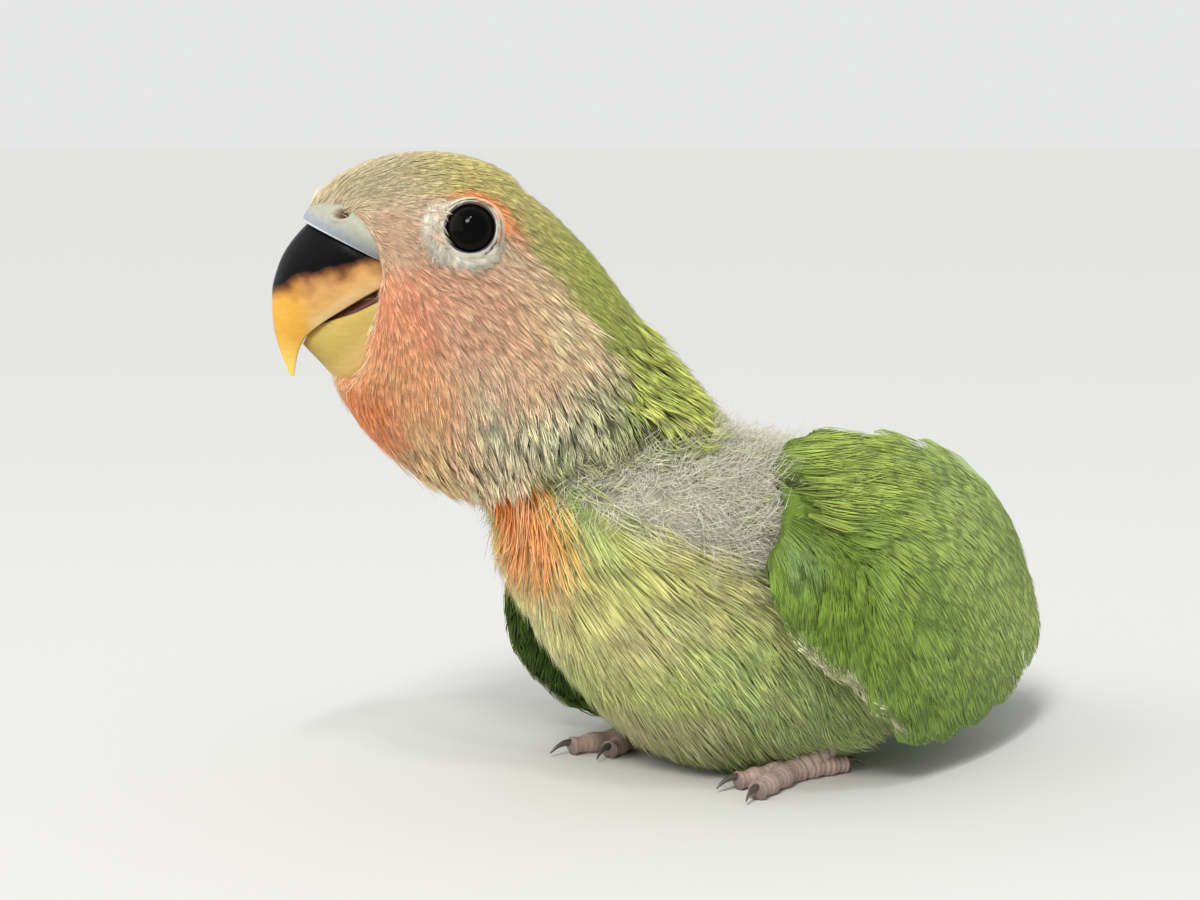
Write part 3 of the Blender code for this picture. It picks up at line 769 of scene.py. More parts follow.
# The green cap's lower edge, as heights above places along the head's plane
CAP_EDGE_ALONG = (-12.0, -5.0, -1.0, 1.7, 3.9, 6.3, 8.8, 11.8, 14.0, 17.0, 19.7, 24.0, 30.0)
CAP_EDGE_UP = (32.0, 37.6, 41.2, 44.2, 49.2, 52.4, 55.2, 58.8, 61.8, 63.4, 63.5, 63.0, 62.2)
FACE_LINE_UP = 51.0
FACE_LINE_SLOPE = 0.57
CAP_FRONT = paint(214, 198, 164)
CAP_CROWN = paint(222, 208, 138)
CAP_NAPE = paint(190, 200, 102)
EYE_RING_WHITE = paint(238, 232, 212)
EYE_ARC = paint(252, 164, 104)

ORANGE_DAB = -2
BODY_BASE = paint(164, 186, 92)
BODY_DABS = (
    Dab(18.0, 5.0, (12.0, 5.0, 0.0), paint(182, 182, 128)),
    Dab(28.0, 23.0, (10.0, 10.0, 0.0), paint(228, 228, 144)),
    Dab(33.0, 21.0, (7.0, 9.0, 0.0), paint(244, 236, 166)),
    Dab(24.0, 19.5, (5.5, 5.0, 0.0), paint(194, 216, 112), 0.9),
    Dab(21.5, 11.0, (6.5, 4.0, 0.0), paint(204, 196, 150), 0.8),
    Dab(14.5, 11.0, (5.5, 5.0, 0.0), paint(158, 186, 88), 0.9),
    Dab(32.0, 29.5, (4.0, 3.0, 0.0), paint(226, 222, 130), 0.8),
    Dab(35.5, 28.2, (6.0, 4.0, 4.8), paint(252, 216, 148), 1.0, -2.2, False),
    Dab(37.0, 33.8, (6.0, 4.2, 4.6), paint(255, 152, 68), 1.0, -2.0, False),
    Dab(-25.0, 25.0, (9.0, 7.0, 0.0), paint(100, 166, 190), 0.8),
)
DOWN_COLOUR = paint(212, 208, 184)
DOWN_EDGE_ALONG = (12.0, 18.0, 24.0, 30.0, 34.0, 36.0)
DOWN_EDGE_UP = (22.0, 25.0, 28.0, 31.2, 33.8, 40.0)


def cap_cover(local: Array) -> Array:
    """How far a point of the hood is inside the green cap, whose edge frays towards the nape.

    Args:
        local: Rows of the head's plane.

    Returns:
        A share for each row.
    """
    edge = np.interp(local[:, 0], CAP_EDGE_ALONG, CAP_EDGE_UP)
    fray = 1.6 * Patches(3.0, 6).at(local) * (1.0 - rise(local[:, 1], 46.0, 56.0))
    return rise(local[:, 1] - edge + fray, -1.0, 1.0)


def below_face(local: Array) -> Array:
    """How far places of the head's plane are below the slanting line under which the pin feathers grow."""
    return FACE_LINE_UP - FACE_LINE_SLOPE * local[:, 0] - local[:, 1]


def round_eye(points: Array) -> tuple[Array, Array, Array]:
    """Each point's distance from the nearer eye's middle, and its place there, forward and up.

    Args:
        points: Rows of drawing points.

    Returns:
        The distance, the place forward and the place up.
    """
    local = HEAD_PLANE.local(points)
    aside = np.abs(local[:, 2]) - EYE_ASIDE
    east, north = local[:, 0] - EYE_PLACE[0], local[:, 1] - EYE_PLACE[1]
    return np.sqrt(east ** 2 + north ** 2 + aside ** 2), east, north


def hood_colour(points: Array) -> Array:
    """The hood's marking: peach face, orange throat, green cap and the pale ring round the eye.

    Args:
        points: Rows of drawing points.

    Returns:
        A linear colour for each.
    """
    local = HEAD_PLANE.local(points)
    colour = repeated(HOOD_BASE, len(points))
    for dab in HOOD_DABS:
        colour = blend(colour, dab.colour, dab.cover(local))
    colour = colour * (1.0 + 0.06 * Patches(7.0, 3).at(points))[:, None]
    cap = blend(repeated(CAP_NAPE, len(points)), CAP_CROWN, rise(local[:, 0], 4.0, 13.0))
    cap = blend(cap, CAP_FRONT, rise(local[:, 0], 17.0, 25.0))
    cap = cap * (1.0 + 0.05 * Patches(6.0, 4).at(points))[:, None]
    colour = blend(colour, cap, cap_cover(local))
    away, east, north = round_eye(points)
    arc = (1.0 - rise(np.abs(away - 4.1), 0.5, 1.3)) * rise(north - 0.5 * east, -0.5, 1.5)
    colour = blend(colour, EYE_ARC, 0.9 * arc)
    reach = 3.7 - 0.6 * rise(-north, 1.5, 3.5) - 0.9 * rise(north - 0.5 * east, 0.0, 2.5)
    white = 1.0 - rise(away - reach, -0.4, 0.4)
    return blend(colour, EYE_RING_WHITE, white)


def down_cover(points: Array) -> Array:
    """How far a point of the body is inside the bare patch of down between hood, breast and wing.

    Args:
        points: Rows of drawing points.

    Returns:
        A share for each.
    """
    local = BODY_PLANE.local(points)
    edge = np.interp(local[:, 0], DOWN_EDGE_ALONG, DOWN_EDGE_UP)
    return rise(local[:, 1] - edge, -0.8, 0.8) * rise(local[:, 0], 0.0, 5.0)


def body_colour(points: Array) -> Array:
    """The body's marking: orange and yellow green breast, green flanks and back, blue rump, grey down.

    Args:
        points: Rows of drawing points.

    Returns:
        A linear colour for each.
    """
    local = BODY_PLANE.local(points)
    colour = repeated(BODY_BASE, len(points))
    for dab in BODY_DABS:
        colour = blend(colour, dab.colour, dab.cover(local))
    greener = 0.35 * np.clip(Patches(9.0, 5).at(points), 0.0, 1.0) * rise(local[:, 0], 0.0, 20.0)
    colour = blend(colour, paint(150, 186, 70), greener * (1.0 - BODY_DABS[ORANGE_DAB].cover(local)))
    return blend(colour, DOWN_COLOUR, down_cover(points))


@dataclass
class Pelt:
    """A skin as arrays in the drawing's millimetres, with what grows on it."""

    points: Array
    triangles: Array
    lies: Array
    colours: Array
    tree: BVHTree = field(init=False)
    middles: Array = field(init=False)
    areas: Array = field(init=False)
    face_normals: Array = field(init=False)
    face_lies: Array = field(init=False)
    centre: Array = field(init=False)

    def __post_init__(self) -> None:
        """Works out what is asked for each triangle."""
        corners = self.points[self.triangles]
        cross = crosses(self.points, self.triangles)
        self.areas = np.linalg.norm(cross, axis=1) / 2
        self.middles = corners.mean(1)
        vertex_normals = np.zeros_like(self.points)
        for column in range(3):
            np.add.at(vertex_normals, self.triangles[:, column], cross)
        vertex_normals = unit(vertex_normals)
        self.face_normals = unit(vertex_normals[self.triangles].mean(1))
        lies = self.lies[self.triangles].mean(1)
        lies -= self.face_normals * np.einsum("ij,ij->i", lies, self.face_normals)[:, None]
        self.face_lies = unit(lies)
        self.centre = self.points.mean(0)
        self.tree = BVHTree.FromPolygons(self.points.tolist(), self.triangles.tolist())

    def settle(self, points: Array) -> tuple[Array, Array, Array]:
        """The nearest places on the skin, with their normals and lies.

        Args:
            points: Rows of drawing points.

        Returns:
            The places, normals and lies.
        """
        found = [self.tree.find_nearest(point) for point in points.tolist()]
        places = np.array([hit[0] for hit in found])
        faces = np.array([hit[2] for hit in found])
        return places, self.face_normals[faces], self.face_lies[faces]

    def scatter(self, density: Array, chance: np.random.Generator) -> tuple[Array, Array]:
        """Random places on the skin.

        Args:
            density: How many each triangle bears to the square millimetre.
            chance: The seeded source of random numbers.

        Returns:
            The places and the triangles that they are on.
        """
        share = np.cumsum(self.areas * density)
        count = int(share[-1])
        along = (np.arange(count) + chance.random(count)) / count * share[-1]
        faces = np.minimum(np.searchsorted(share, along), len(share) - 1)
        first, second = chance.random((2, count))
        fold = first + second > 1.0
        first[fold], second[fold] = 1.0 - first[fold], 1.0 - second[fold]
        corners = self.points[self.triangles[faces]]
        places = (
            corners[:, 0]
            + (corners[:, 1] - corners[:, 0]) * first[:, None]
            + (corners[:, 2] - corners[:, 0]) * second[:, None]
        )
        return places, faces

    def unwrap(self, points: Array) -> Array:
        """The skin's own unwrap: the direction of each point from its middle, as longitude and latitude.

        Args:
            points: Rows of drawing points.

        Returns:
            A place of the map for each.
        """
        away = unit(points - self.centre)
        across = 0.5 + np.arctan2(away[:, 0], -away[:, 1]) / (2 * math.pi)
        upward = 0.96 * np.arcsin(np.clip(away[:, 2], -1, 1)) / math.pi
        return np.stack([0.02 + 0.96 * across, 0.5 + upward], 1)


@dataclass(frozen=True)
class Tuft:
    """The make of one kind of tuft, in millimetres. A tuft is a few flat strands from one root."""

    length: float
    width: float
    strands: int
    strand_width: float
    lift: float
    stations: int = 3
    root_lift: float = 0.0
    spread: tuple[float, ...] = (0.4, 0.9, 1.3)
    stray: float = 0.12
    wave: float = 0.0
    flatness: float = 0.35
    root_shade: float = 0.55
    tip_shade: float = 1.08
    variety: float = 0.07

    @property
    def strand_points(self) -> int:
        """Points of one strand."""
        return 3 * (self.stations - 1) + 1

    def strand_triangles(self) -> Array:
        """Triangles of one strand: three sides between stations, and a point at the tip."""
        rows = self.stations - 1
        return np.concatenate([grid_triangles(rows, 3, closed=True), fan(rows - 1, 3, rows * 3)])


def marched(
    pelt: Pelt, tuft: Tuft, roots: Array, sizes: Array, chance: np.random.Generator, headings: Array | None
) -> Array:
    """The middle lines of tufts that march over a skin along its lie.

    Args:
        pelt: The skin they grow on.
        tuft: Their make.
        roots: Their places.
        sizes: A factor on the length of each.
        chance: The seeded source of random numbers.
        headings: Directions that take the place of the skin's own lie.

    Returns:
        The places, normals and directions aside of all stations, one after the other.
    """
    stray = chance.normal(0.0, tuft.stray, len(roots))
    place, normal, lie = pelt.settle(roots)
    if headings is not None:
        lie = unit(headings - normal * np.einsum("ij,ij->i", headings, normal)[:, None])
    heading = turn_about(lie, normal, stray)
    places, normals, sides = [place], [normal], [np.cross(normal, heading)]
    step = sizes * tuft.length / (tuft.stations - 1)
    for _ in range(1, tuft.stations):
        place, normal, lie = pelt.settle(place + heading * step[:, None])
        if headings is None:
            stray = stray + tuft.wave * chance.normal(0.0, 1.0, len(roots))
            heading = turn_about(lie, normal, stray)
        else:
            heading = unit(heading - normal * np.einsum("ij,ij->i", heading, normal)[:, None])
        places.append(place)
        normals.append(normal)
        sides.append(np.cross(normal, heading))
    return np.stack([np.array(places), np.array(normals), np.array(sides)])


def lay_tufts(
    pelt: Pelt,
    tuft: Tuft,
    roots: Array,
    colours: Array,
    chance: np.random.Generator,
    sizes: Array | None = None,
    tip_colours: Array | None = None,
    headings: Array | None = None,
) -> MeshData:
    """Tufts laid over a skin.

    Args:
        pelt: The skin they grow on.
        tuft: Their make.
        roots: Their places.
        colours: Their colours at the root end.
        chance: The seeded source of random numbers.
        sizes: A factor on the length and width of each.
        tip_colours: Their colours at the tip, where these differ.
        headings: Directions that take the place of the skin's own lie.

    Returns:
        One mesh of all of them.
    """
    count = len(roots)
    sizes = np.ones(count) if sizes is None else sizes
    tip_colours = colours if tip_colours is None else tip_colours
    line = marched(pelt, tuft, roots, sizes, chance, headings)
    number = tuft.strands
    offset = np.linspace(-0.5, 0.5, number) if number > 1 else np.zeros(1)
    offset = offset[None] + chance.normal(0.0, 0.12, (count, number)) * (number > 1)
    reach = 1.0 - 0.5 * offset ** 2 * 4 * 0.3 + chance.normal(0.0, 0.07, (count, number))
    lift = tuft.lift * sizes[:, None] * (1.0 + chance.normal(0.0, 0.22, (count, number)))
    points, tints = [], []
    row = np.arange(count)[:, None]
    strand_tone = 1.0 + chance.normal(0.0, tuft.variety, (count, 1))
    strand_tone = strand_tone + chance.normal(0.0, 0.6 * tuft.variety, (count, number))
    for index in range(tuft.stations):
        share = index / (tuft.stations - 1)
        where = np.clip(share * reach * (tuft.stations - 1), 0, tuft.stations - 1 - 1e-6)
        low = where.astype(int)
        part = (where - low)[..., None]
        middle, up, across = (kind[low, row] * (1 - part) + kind[low + 1, row] * part for kind in line)
        steps = np.linspace(0.0, 1.0, len(tuft.spread))
        spread = tuft.width * sizes[:, None] * float(np.interp(share, steps, tuft.spread))
        height = tuft.root_lift + (lift - tuft.root_lift) * share ** 1.25
        spot = middle + across * (offset * spread)[..., None] + up * height[..., None]
        tone = tuft.root_shade + (tuft.tip_shade - tuft.root_shade) * min(1.0, share * 1.5)
        tint = blend(colours, tip_colours, np.full(count, share ** 1.5))[:, None]
        tint = tint * (strand_tone * tone)[..., None]
        if index == tuft.stations - 1:
            points.append(spot[:, :, None])
            tints.append(tint[:, :, None])
            continue
        half = tuft.strand_width / 2 * sizes[:, None] * (0.6 if index == 0 else 1.0)
        wide = across * half[..., None]
        ridge = up * (half * 2 * tuft.flatness)[..., None]
        points.append(np.stack([spot - wide, spot + ridge, spot + wide], 2))
        tints.append(np.repeat(tint[:, :, None], 3, 2))
    points = np.concatenate(points, 2).reshape(-1, 3)
    tints = np.concatenate(tints, 2).reshape(-1, 3)
    strand = tuft.strand_triangles()
    starts = np.arange(count * number) * tuft.strand_points
    triangles = (starts[:, None, None] + strand[None]).reshape(-1, 3)
    root_uv = np.repeat(pelt.unwrap(roots), number * tuft.strand_points, 0)
    patch = points - np.repeat(roots, number * tuft.strand_points, 0)
    patch = np.clip(patch[:, :2] / (tuft.length * 1.2), -1.0, 1.0) * TUFT_PATCH
    points[:, 2] = np.maximum(points[:, 2], FLOOR + 0.05)
    return MeshData(points, triangles, tints, root_uv + patch)


def split(data: MeshData, limit: int = PIECE_LIMIT) -> list[MeshData]:
    """A mesh of many loose tufts as pieces under the limit, parted between strands.

    Args:
        data: The mesh.
        limit: The most triangles of one piece.

    Returns:
        The pieces.
    """
    pieces = math.ceil(len(data.triangles) / limit)
    if pieces == 1:
        return [data]
    order = np.array_split(np.arange(len(data.triangles)), pieces)
    made = []
    for faces in order:
        triangles = data.triangles[faces]
        used, renumbered = np.unique(triangles, return_inverse=True)
        made.append(
            MeshData(
                data.points[used],
                renumbered.reshape(-1, 3),
                data.colours[used],
                data.coat_uv[used],
                None if data.vane_uv is None else data.vane_uv[used],
            )
        )
    return made


def node_tree(nodes: dict, drawing: Drawing, names: tuple[str, ...]) -> BVHTree:
    """A search tree over some CAD nodes, in the drawing.

    Args:
        nodes: The CAD nodes by name.
        drawing: The step from the drawing to the frame.
        names: The nodes to search.

    Returns:
        The tree.
    """
    points, polygons = [], []
    for name in names:
        mesh = nodes[name].data
        start = len(points)
        points += drawing.to_drawing(read_rows(mesh, "co")).tolist()
        polygons += [[index + start for index in face.vertices] for face in mesh.polygons]
    return BVHTree.FromPolygons(points, polygons)


def distances(tree: BVHTree, points: Array) -> Array:
    """Each point's distance from the nearest surface in a tree."""
    return np.array([tree.find_nearest(point)[3] for point in points.tolist()])


@dataclass
class Skin:
    """One skin over head, neck, torso and legs, pushed in by the coat's depth."""

    nodes: dict
    drawing: Drawing
    seam_fill: float = 0.28
    voxel: float = 0.5
    hood_depth: float = 0.45
    body_depth: float = 0.95
    face_depth: float = 0.1
    fringe_depth: float = 0.55
    hem_along: tuple[float, ...] = (-2.0, 4.0, 9.0)
    hem_height: tuple[float, ...] = (0.7, 2.4, 4.2)
    flesh: tuple[str, ...] = ("head", "neck", "torso", "leg_left", "leg_right")
    bill: tuple[str, ...] = ("cere", "beak_upper", "beak_lower")
    piece: bpy.types.Object = field(init=False)
    hooded: Array = field(init=False)
    from_bill: Array = field(init=False)

    def copy_node(self, name: str) -> bpy.types.Object:
        """A merged copy of a node, swollen to close the cuts between nodes.

        Args:
            name: The node's name.

        Returns:
            The copy.
        """
        mesh = self.nodes[name].data.copy()
        work = bmesh.new()
        work.from_mesh(mesh)
        bmesh.ops.remove_doubles(work, verts=work.verts, dist=1e-6)
        work.normal_update()
        moves = [vert.normal.copy() for vert in work.verts]
        for vert, move in zip(work.verts, moves):
            vert.co += move * self.seam_fill * MM
        work.to_mesh(mesh)
        work.free()
        return put("flesh " + name, mesh)

    def mound(self, stations: tuple[Station, ...]) -> bpy.types.Object:
        """Flesh under feathers that reach past the head's own solid.

        Args:
            stations: Its cross sections.

        Returns:
            An object to join to the flesh.
        """
        local, triangles, _ = loft(stations, 40, 40)
        points = HEAD_PLANE.world(local)
        mesh = bpy.data.meshes.new("mound")
        faces = turned_outwards(points, triangles).tolist()
        mesh.from_pydata(self.drawing.to_frame(points).tolist(), [], faces)
        return put("mound", mesh)

    def depth(self, points: Array) -> Array:
        """How far the skin is inside the coat's surface.

        Args:
            points: Rows of drawing points.

        Returns:
            A length for each.
        """
        hood = self.face_depth + (self.hood_depth - self.face_depth) * rise(self.from_bill, 0.5, 6.0)
        hood = np.minimum(hood, 0.1 + self.hood_depth * rise(round_eye(points)[0], 3.5, 6.5))
        fringe = self.fringe_depth * rise(self.from_bill, 14.0, 24.0)
        hood = hood + fringe * (1.0 - cap_cover(HEAD_PLANE.local(points)))
        bib = self.body_depth * (1.0 - BODY_DABS[ORANGE_DAB].cover(BODY_PLANE.local(points)))
        return hood + (bib - hood) * (1.0 - self.hooded) + self.seam_fill

    def soften(self, turns: int) -> None:
        """Smooths the active object's mesh."""
        soften = bpy.context.object.modifiers.new("soften", "SMOOTH")
        soften.factor, soften.iterations = 0.5, turns
        bpy.ops.object.modifier_apply(modifier=soften.name)

    def build(self) -> Pelt:
        """Makes the skin piece and gives it as a pelt."""
        copies = [self.copy_node(name) for name in self.flesh]
        copies += [self.mound(stations) for stations in (CROWN, NAPE, CHIN)]
        deselect()
        for copy in copies:
            copy.select_set(True)
        bpy.context.view_layer.objects.active = copies[0]
        bpy.ops.object.join()
        piece = bpy.context.view_layer.objects.active
        piece.name = "skin"
        piece.data.remesh_voxel_size = self.voxel * MM
        bpy.ops.object.voxel_remesh()
        self.soften(8)
        mesh = piece.data
        points = self.drawing.to_drawing(read_rows(mesh, "co"))
        normals = read_rows(mesh, "normal")
        to_hood = distances(node_tree(self.nodes, self.drawing, ("head", "neck")), points)
        to_body = distances(node_tree(self.nodes, self.drawing, ("torso", "leg_left", "leg_right")), points)
        hem = np.interp(HEAD_PLANE.local(points)[:, 0], self.hem_along, self.hem_height)
        self.hooded = rise(to_body - hem, -0.4, 0.4) * (to_hood < to_body)
        self.from_bill = distances(node_tree(self.nodes, self.drawing, self.bill), points)
        points = points - normals * self.depth(points)[:, None]
        points[:, 2] = np.maximum(points[:, 2], FLOOR + 0.3)
        mesh.vertices.foreach_set("co", self.drawing.to_frame(points).astype(np.float32).ravel())
        mesh.update()
        activate(piece)
        self.soften(4)
        triangulate = piece.modifiers.new("triangulate", "TRIANGULATE")
        bpy.ops.object.modifier_apply(modifier=triangulate.name)
        bpy.ops.object.shade_smooth()
        self.piece = piece
        points = self.drawing.to_drawing(read_rows(piece.data, "co"))
        triangles = np.zeros(len(piece.data.polygons) * 3, np.int32)
        piece.data.polygons.foreach_get("vertices", triangles)
        on_hood = self.hooded > 0.5
        head_lies, body_lies = combed(points, HEAD_PLANE, HEAD_LIES), combed(points, BODY_PLANE, BODY_LIES)
        lies = np.where(on_hood[:, None], head_lies, body_lies)
        colours = np.where(on_hood[:, None], hood_colour(points), body_colour(points))
        return Pelt(points, triangles.reshape(-1, 3), lies, colours)

    def dress(self, pelt: Pelt) -> None:
        """Gives the skin its markings darkened as painted shade, and lets it stand for the nodes of flesh.

        Args:
            pelt: The skin as arrays.
        """
        local = HEAD_PLANE.local(pelt.points)
        # Painted shade: the skin between the tufts is darker than their colours, darkest in the gaps under
        # the lower hood's pins
        pin_gap_shade = rise(below_face(local), -2.0, 3.0) * (1.0 - 0.6 * rise(local[:, 0], 8.0, 16.0))
        shade = (0.62 - 0.12 * self.hooded) * (1.0 - 0.72 * pin_gap_shade * self.hooded)
        set_tint(self.piece.data, pelt.colours * shade[:, None])
        self.piece.data.materials.clear()
        self.piece.data.materials.append(TintFinish(mottle=0.2, bump=0.4, sheen=0.0).make("bare skin"))
        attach(self.piece, "root")
        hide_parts(*self.flesh)


@dataclass
class Coat:
    """All the small feathers and down on the skin."""

    pelt: Pelt
    skin: Skin
    drawing: Drawing
    chance: np.random.Generator
    wing_gap: float = 4.5
    hidden_share: float = 0.22
    # Tufts to the square millimetre
    face_density: float = 5.4
    throat_extra: float = 1.8
    low_fewer: float = 4.9
    clump_density: float = 1.9
    rim_density: float = 4.2
    cap_density: float = 6.2
    cap_low_fewer: float = 5.4
    hood_pin_density: float = 1.05
    nape_pin_density: float = 1.1
    sprout_density: float = 0.11
    plume_density: float = 0.79
    wool_density: float = 3.6
    # The colours that tips go towards
    face_tip: Colour = paint(255, 236, 206)
    clump_tip: Colour = paint(255, 238, 208)
    rim_tip: Colour = paint(250, 228, 192)
    cap_tip: Colour = paint(222, 222, 140)
    hood_pin_tip: Colour = paint(240, 234, 192)
    nape_pin_tip: Colour = paint(210, 218, 122)
    sprout_tip: Colour = paint(150, 174, 66)
    plume_tip: Colour = paint(246, 242, 190)
    wool_tip: Colour = paint(240, 238, 226)
    fine: Tuft = Tuft(3.5, 0.34, 3, 0.08, 0.34, stray=0.12, root_shade=0.76, tip_shade=1.05, variety=0.08)
    clump: Tuft = Tuft(
        4.2, 0.42, 4, 0.075, 0.7, 4, 0.0, (0.2, 0.8, 0.9, 0.3), 0.13,
        root_shade=0.32, tip_shade=1.12, variety=0.08,
    )
    whisker: Tuft = Tuft(1.9, 0.4, 3, 0.07, 0.4, stray=0.3, root_shade=0.75, tip_shade=1.1)
    sleek: Tuft = Tuft(2.8, 0.42, 3, 0.11, 0.45, stray=0.09, root_shade=0.8, tip_shade=1.06, variety=0.06)
    pin: Tuft = Tuft(
        3.9, 0.72, 6, 0.14, 1.0, 4, 0.1, (0.1, 0.42, 0.95, 0.3), 0.1,
        root_shade=0.1, tip_shade=1.16, variety=0.1,
    )
    plume: Tuft = Tuft(
        8.2, 1.6, 8, 0.12, 1.2, 4, 0.0, (0.3, 0.9, 1.1, 0.8), 0.08, 0.04,
        root_shade=0.7, tip_shade=1.1, variety=0.09,
    )
    wool: Tuft = Tuft(
        3.6, 1.1, 3, 0.05, 2.1, 4, 0.0, (0.3, 1.0, 1.8), 1.1, 0.55,
        root_shade=0.68, tip_shade=1.08, variety=0.08,
    )
    finish: bpy.types.Material = field(init=False)
    hood: Array = field(init=False)
    from_bill: Array = field(init=False)
    from_eye: Array = field(init=False)
    cap: Array = field(init=False)
    down: Array = field(init=False)
    body_place: Array = field(init=False)
    low: Array = field(init=False)
    open_air: Array = field(init=False)

    def __post_init__(self) -> None:
        """Works out what the regions need for each triangle."""
        self.finish = TintFinish(roughness=0.75, sheen=0.2, specular=0.2).make("plumage")
        self.hood = self.skin.hooded[self.pelt.triangles].mean(1) > 0.5
        self.from_bill = self.skin.from_bill[self.pelt.triangles].mean(1)
        self.from_eye = round_eye(self.pelt.middles)[0]
        self.cap = cap_cover(HEAD_PLANE.local(self.pelt.middles))
        self.down = down_cover(self.pelt.middles)
        self.body_place = BODY_PLANE.local(self.pelt.middles)
        self.low = self.hood * rise(below_face(HEAD_PLANE.local(self.pelt.middles)), -2.5, 4.5)
        wings = node_tree(self.skin.nodes, self.drawing, ("wing_left", "wing_right"))
        rays = zip(self.pelt.middles.tolist(), self.pelt.face_normals.tolist())
        hits = [wings.ray_cast(middle, normal, self.wing_gap)[0] for middle, normal in rays]
        self.open_air = np.where([hit is not None for hit in hits], self.hidden_share, 1.0)

    def add(self, name: str, data: MeshData, slot: str) -> None:
        """Adds one kind of tuft in pieces under the limit.

        Args:
            name: The pieces' name without their number.
            data: The tufts.
            slot: Not used.
        """
        for index, part in enumerate(split(data)):
            piece = add_mesh(f"{name}_{index + 1}", part, self.drawing, self.finish)
        log.info("%s: %d triangles", name, len(data.triangles))

    def grow(
        self, tuft: Tuft, density: Array, size: Array, tips: float = 0.0, tip_colour: Colour | None = None
    ) -> MeshData:
        """Tufts of one make over the skin.

        Args:
            tuft: Their make.
            density: How many each triangle bears to the square millimetre.
            size: A factor on their size for each triangle.
            tips: How far the tips go to the tip colour.
            tip_colour: The tips' own colour.

        Returns:
            One mesh of all of them.
        """
        roots, faces = self.pelt.scatter(density, self.chance)
        corners = self.pelt.triangles[faces]
        colours = self.pelt.colours[corners].mean(1)
        hue = self.chance.normal(0.0, 0.04, (len(roots), 3))
        colours = np.clip(colours * (1.0 + hue), 0.0, 1.0)
        sizes = size[faces] * (1.0 + self.chance.normal(0.0, 0.14, len(roots)))
        tip_colours = colours
        if tip_colour is not None:
            share = np.clip(tips * self.chance.uniform(0.3, 1.7, len(roots)), 0.0, 1.0)
            tip_colours = blend(colours, tip_colour, share)
        sizes = np.maximum(sizes, 0.3)
        return lay_tufts(self.pelt, tuft, roots, colours, self.chance, sizes, tip_colours)

    def build(self) -> None:
        """Grows every region."""
        self.build_face()
        self.build_cap()
        self.build_fringe()
        self.build_body()
        self.build_down()

    def build_face(self) -> None:
        """Short hairlike feathers over face and throat, in fine clumps, longer away from the bill."""
        clear = self.hood * rise(self.from_eye, 3.2, 3.8) * (1.0 - self.cap)
        size = 0.42 + 0.036 * self.from_bill
        throat = HOOD_DABS[THROAT_DAB].cover(HEAD_PLANE.local(self.pelt.middles))
        density = clear * (self.face_density + self.throat_extra * throat - self.low_fewer * self.low)
        data = self.grow(self.fine, density, size, 0.35, self.face_tip)
        self.add("coat_face", data, "head_plumage")
        density = clear * self.clump_density * (1.0 - 0.85 * self.low) * (1.0 - 0.5 * throat)
        density = density * rise(self.from_bill, 1.5, 4.0)
        data = self.grow(self.clump, density, size, 0.3, self.clump_tip)
        self.add("coat_face_clumps", data, "head_plumage")
        density = self.hood * self.rim_density * (1.0 - rise(self.from_bill, 0.8, 1.8)) * (1.0 - self.cap)
        data = self.grow(self.whisker, density, np.ones(len(density)), 0.6, self.rim_tip)
        self.add("coat_bill_rim", data, "head_plumage")

    def build_cap(self) -> None:
        """Sleek short feathers from forehead to nape."""
        clear = self.hood * rise(self.from_eye, 3.2, 3.8) * self.cap
        size = 0.5 + 0.018 * self.from_bill
        density = clear * (self.cap_density - self.cap_low_fewer * self.low)
        data = self.grow(self.sleek, density, size, 0.2, self.cap_tip)
        self.add("coat_cap", data, "head_plumage")

    def build_fringe(self) -> None:
        """Pin feathers like small pointed brushes, pale at the tip, towards the hood's lower edge."""
        size = np.ones(len(self.low))
        density = self.low * self.hood_pin_density * (1.0 - self.cap)
        pale = self.grow(self.pin, density, size, 0.22, self.hood_pin_tip)
        self.add("coat_hood_pins", pale, "hood_plumage")
        nape_pin = replace(self.pin, root_shade=0.26)
        density = self.low * self.nape_pin_density * self.cap
        green = self.grow(nape_pin, density, size, 0.3, self.nape_pin_tip)
        self.add("coat_nape_pins", green, "hood_plumage")
        density = ~self.hood * self.down * self.sprout_density * self.open_air
        sprouts = self.grow(self.pin, density, size, 1.0, self.sprout_tip)
        self.add("coat_shoulder_pins", sprouts, "hood_plumage")

    def build_body(self) -> None:
        """Soft plumes with many barbs over breast, flanks, belly and back."""
        body = ~self.hood * (1.0 - self.down)
        front = rise(self.body_place[:, 0], -4.0, 10.0)
        under = rise(self.body_place[:, 1], 3.0, 8.0)
        size = 0.58 + 0.38 * front * under + 0.25 * BODY_DABS[ORANGE_DAB].cover(self.body_place)
        density = body * (self.plume_density - 0.02 * front) * (0.25 + 0.75 * under) * self.open_air
        data = self.grow(self.plume, density, size, 0.35, self.plume_tip)
        self.add("coat_body", data, "body_plumage")

    def build_down(self) -> None:
        """Short curly grey filaments in the bare patch, and some among the flank's feathers."""
        density = ~self.hood * self.down * self.wool_density * self.open_air
        size = np.full(len(density), 0.9)
        data = self.grow(self.wool, density, size, 0.35, self.wool_tip)
        self.add("coat_down", data, "body_plumage")


@dataclass(frozen=True)
class Station:
    """One cross section: its lower and upper point in the head's plane, and its half width."""

    low: tuple[float, float]
    high: tuple[float, float]
    half_width: float
    roundness: float = 2.2


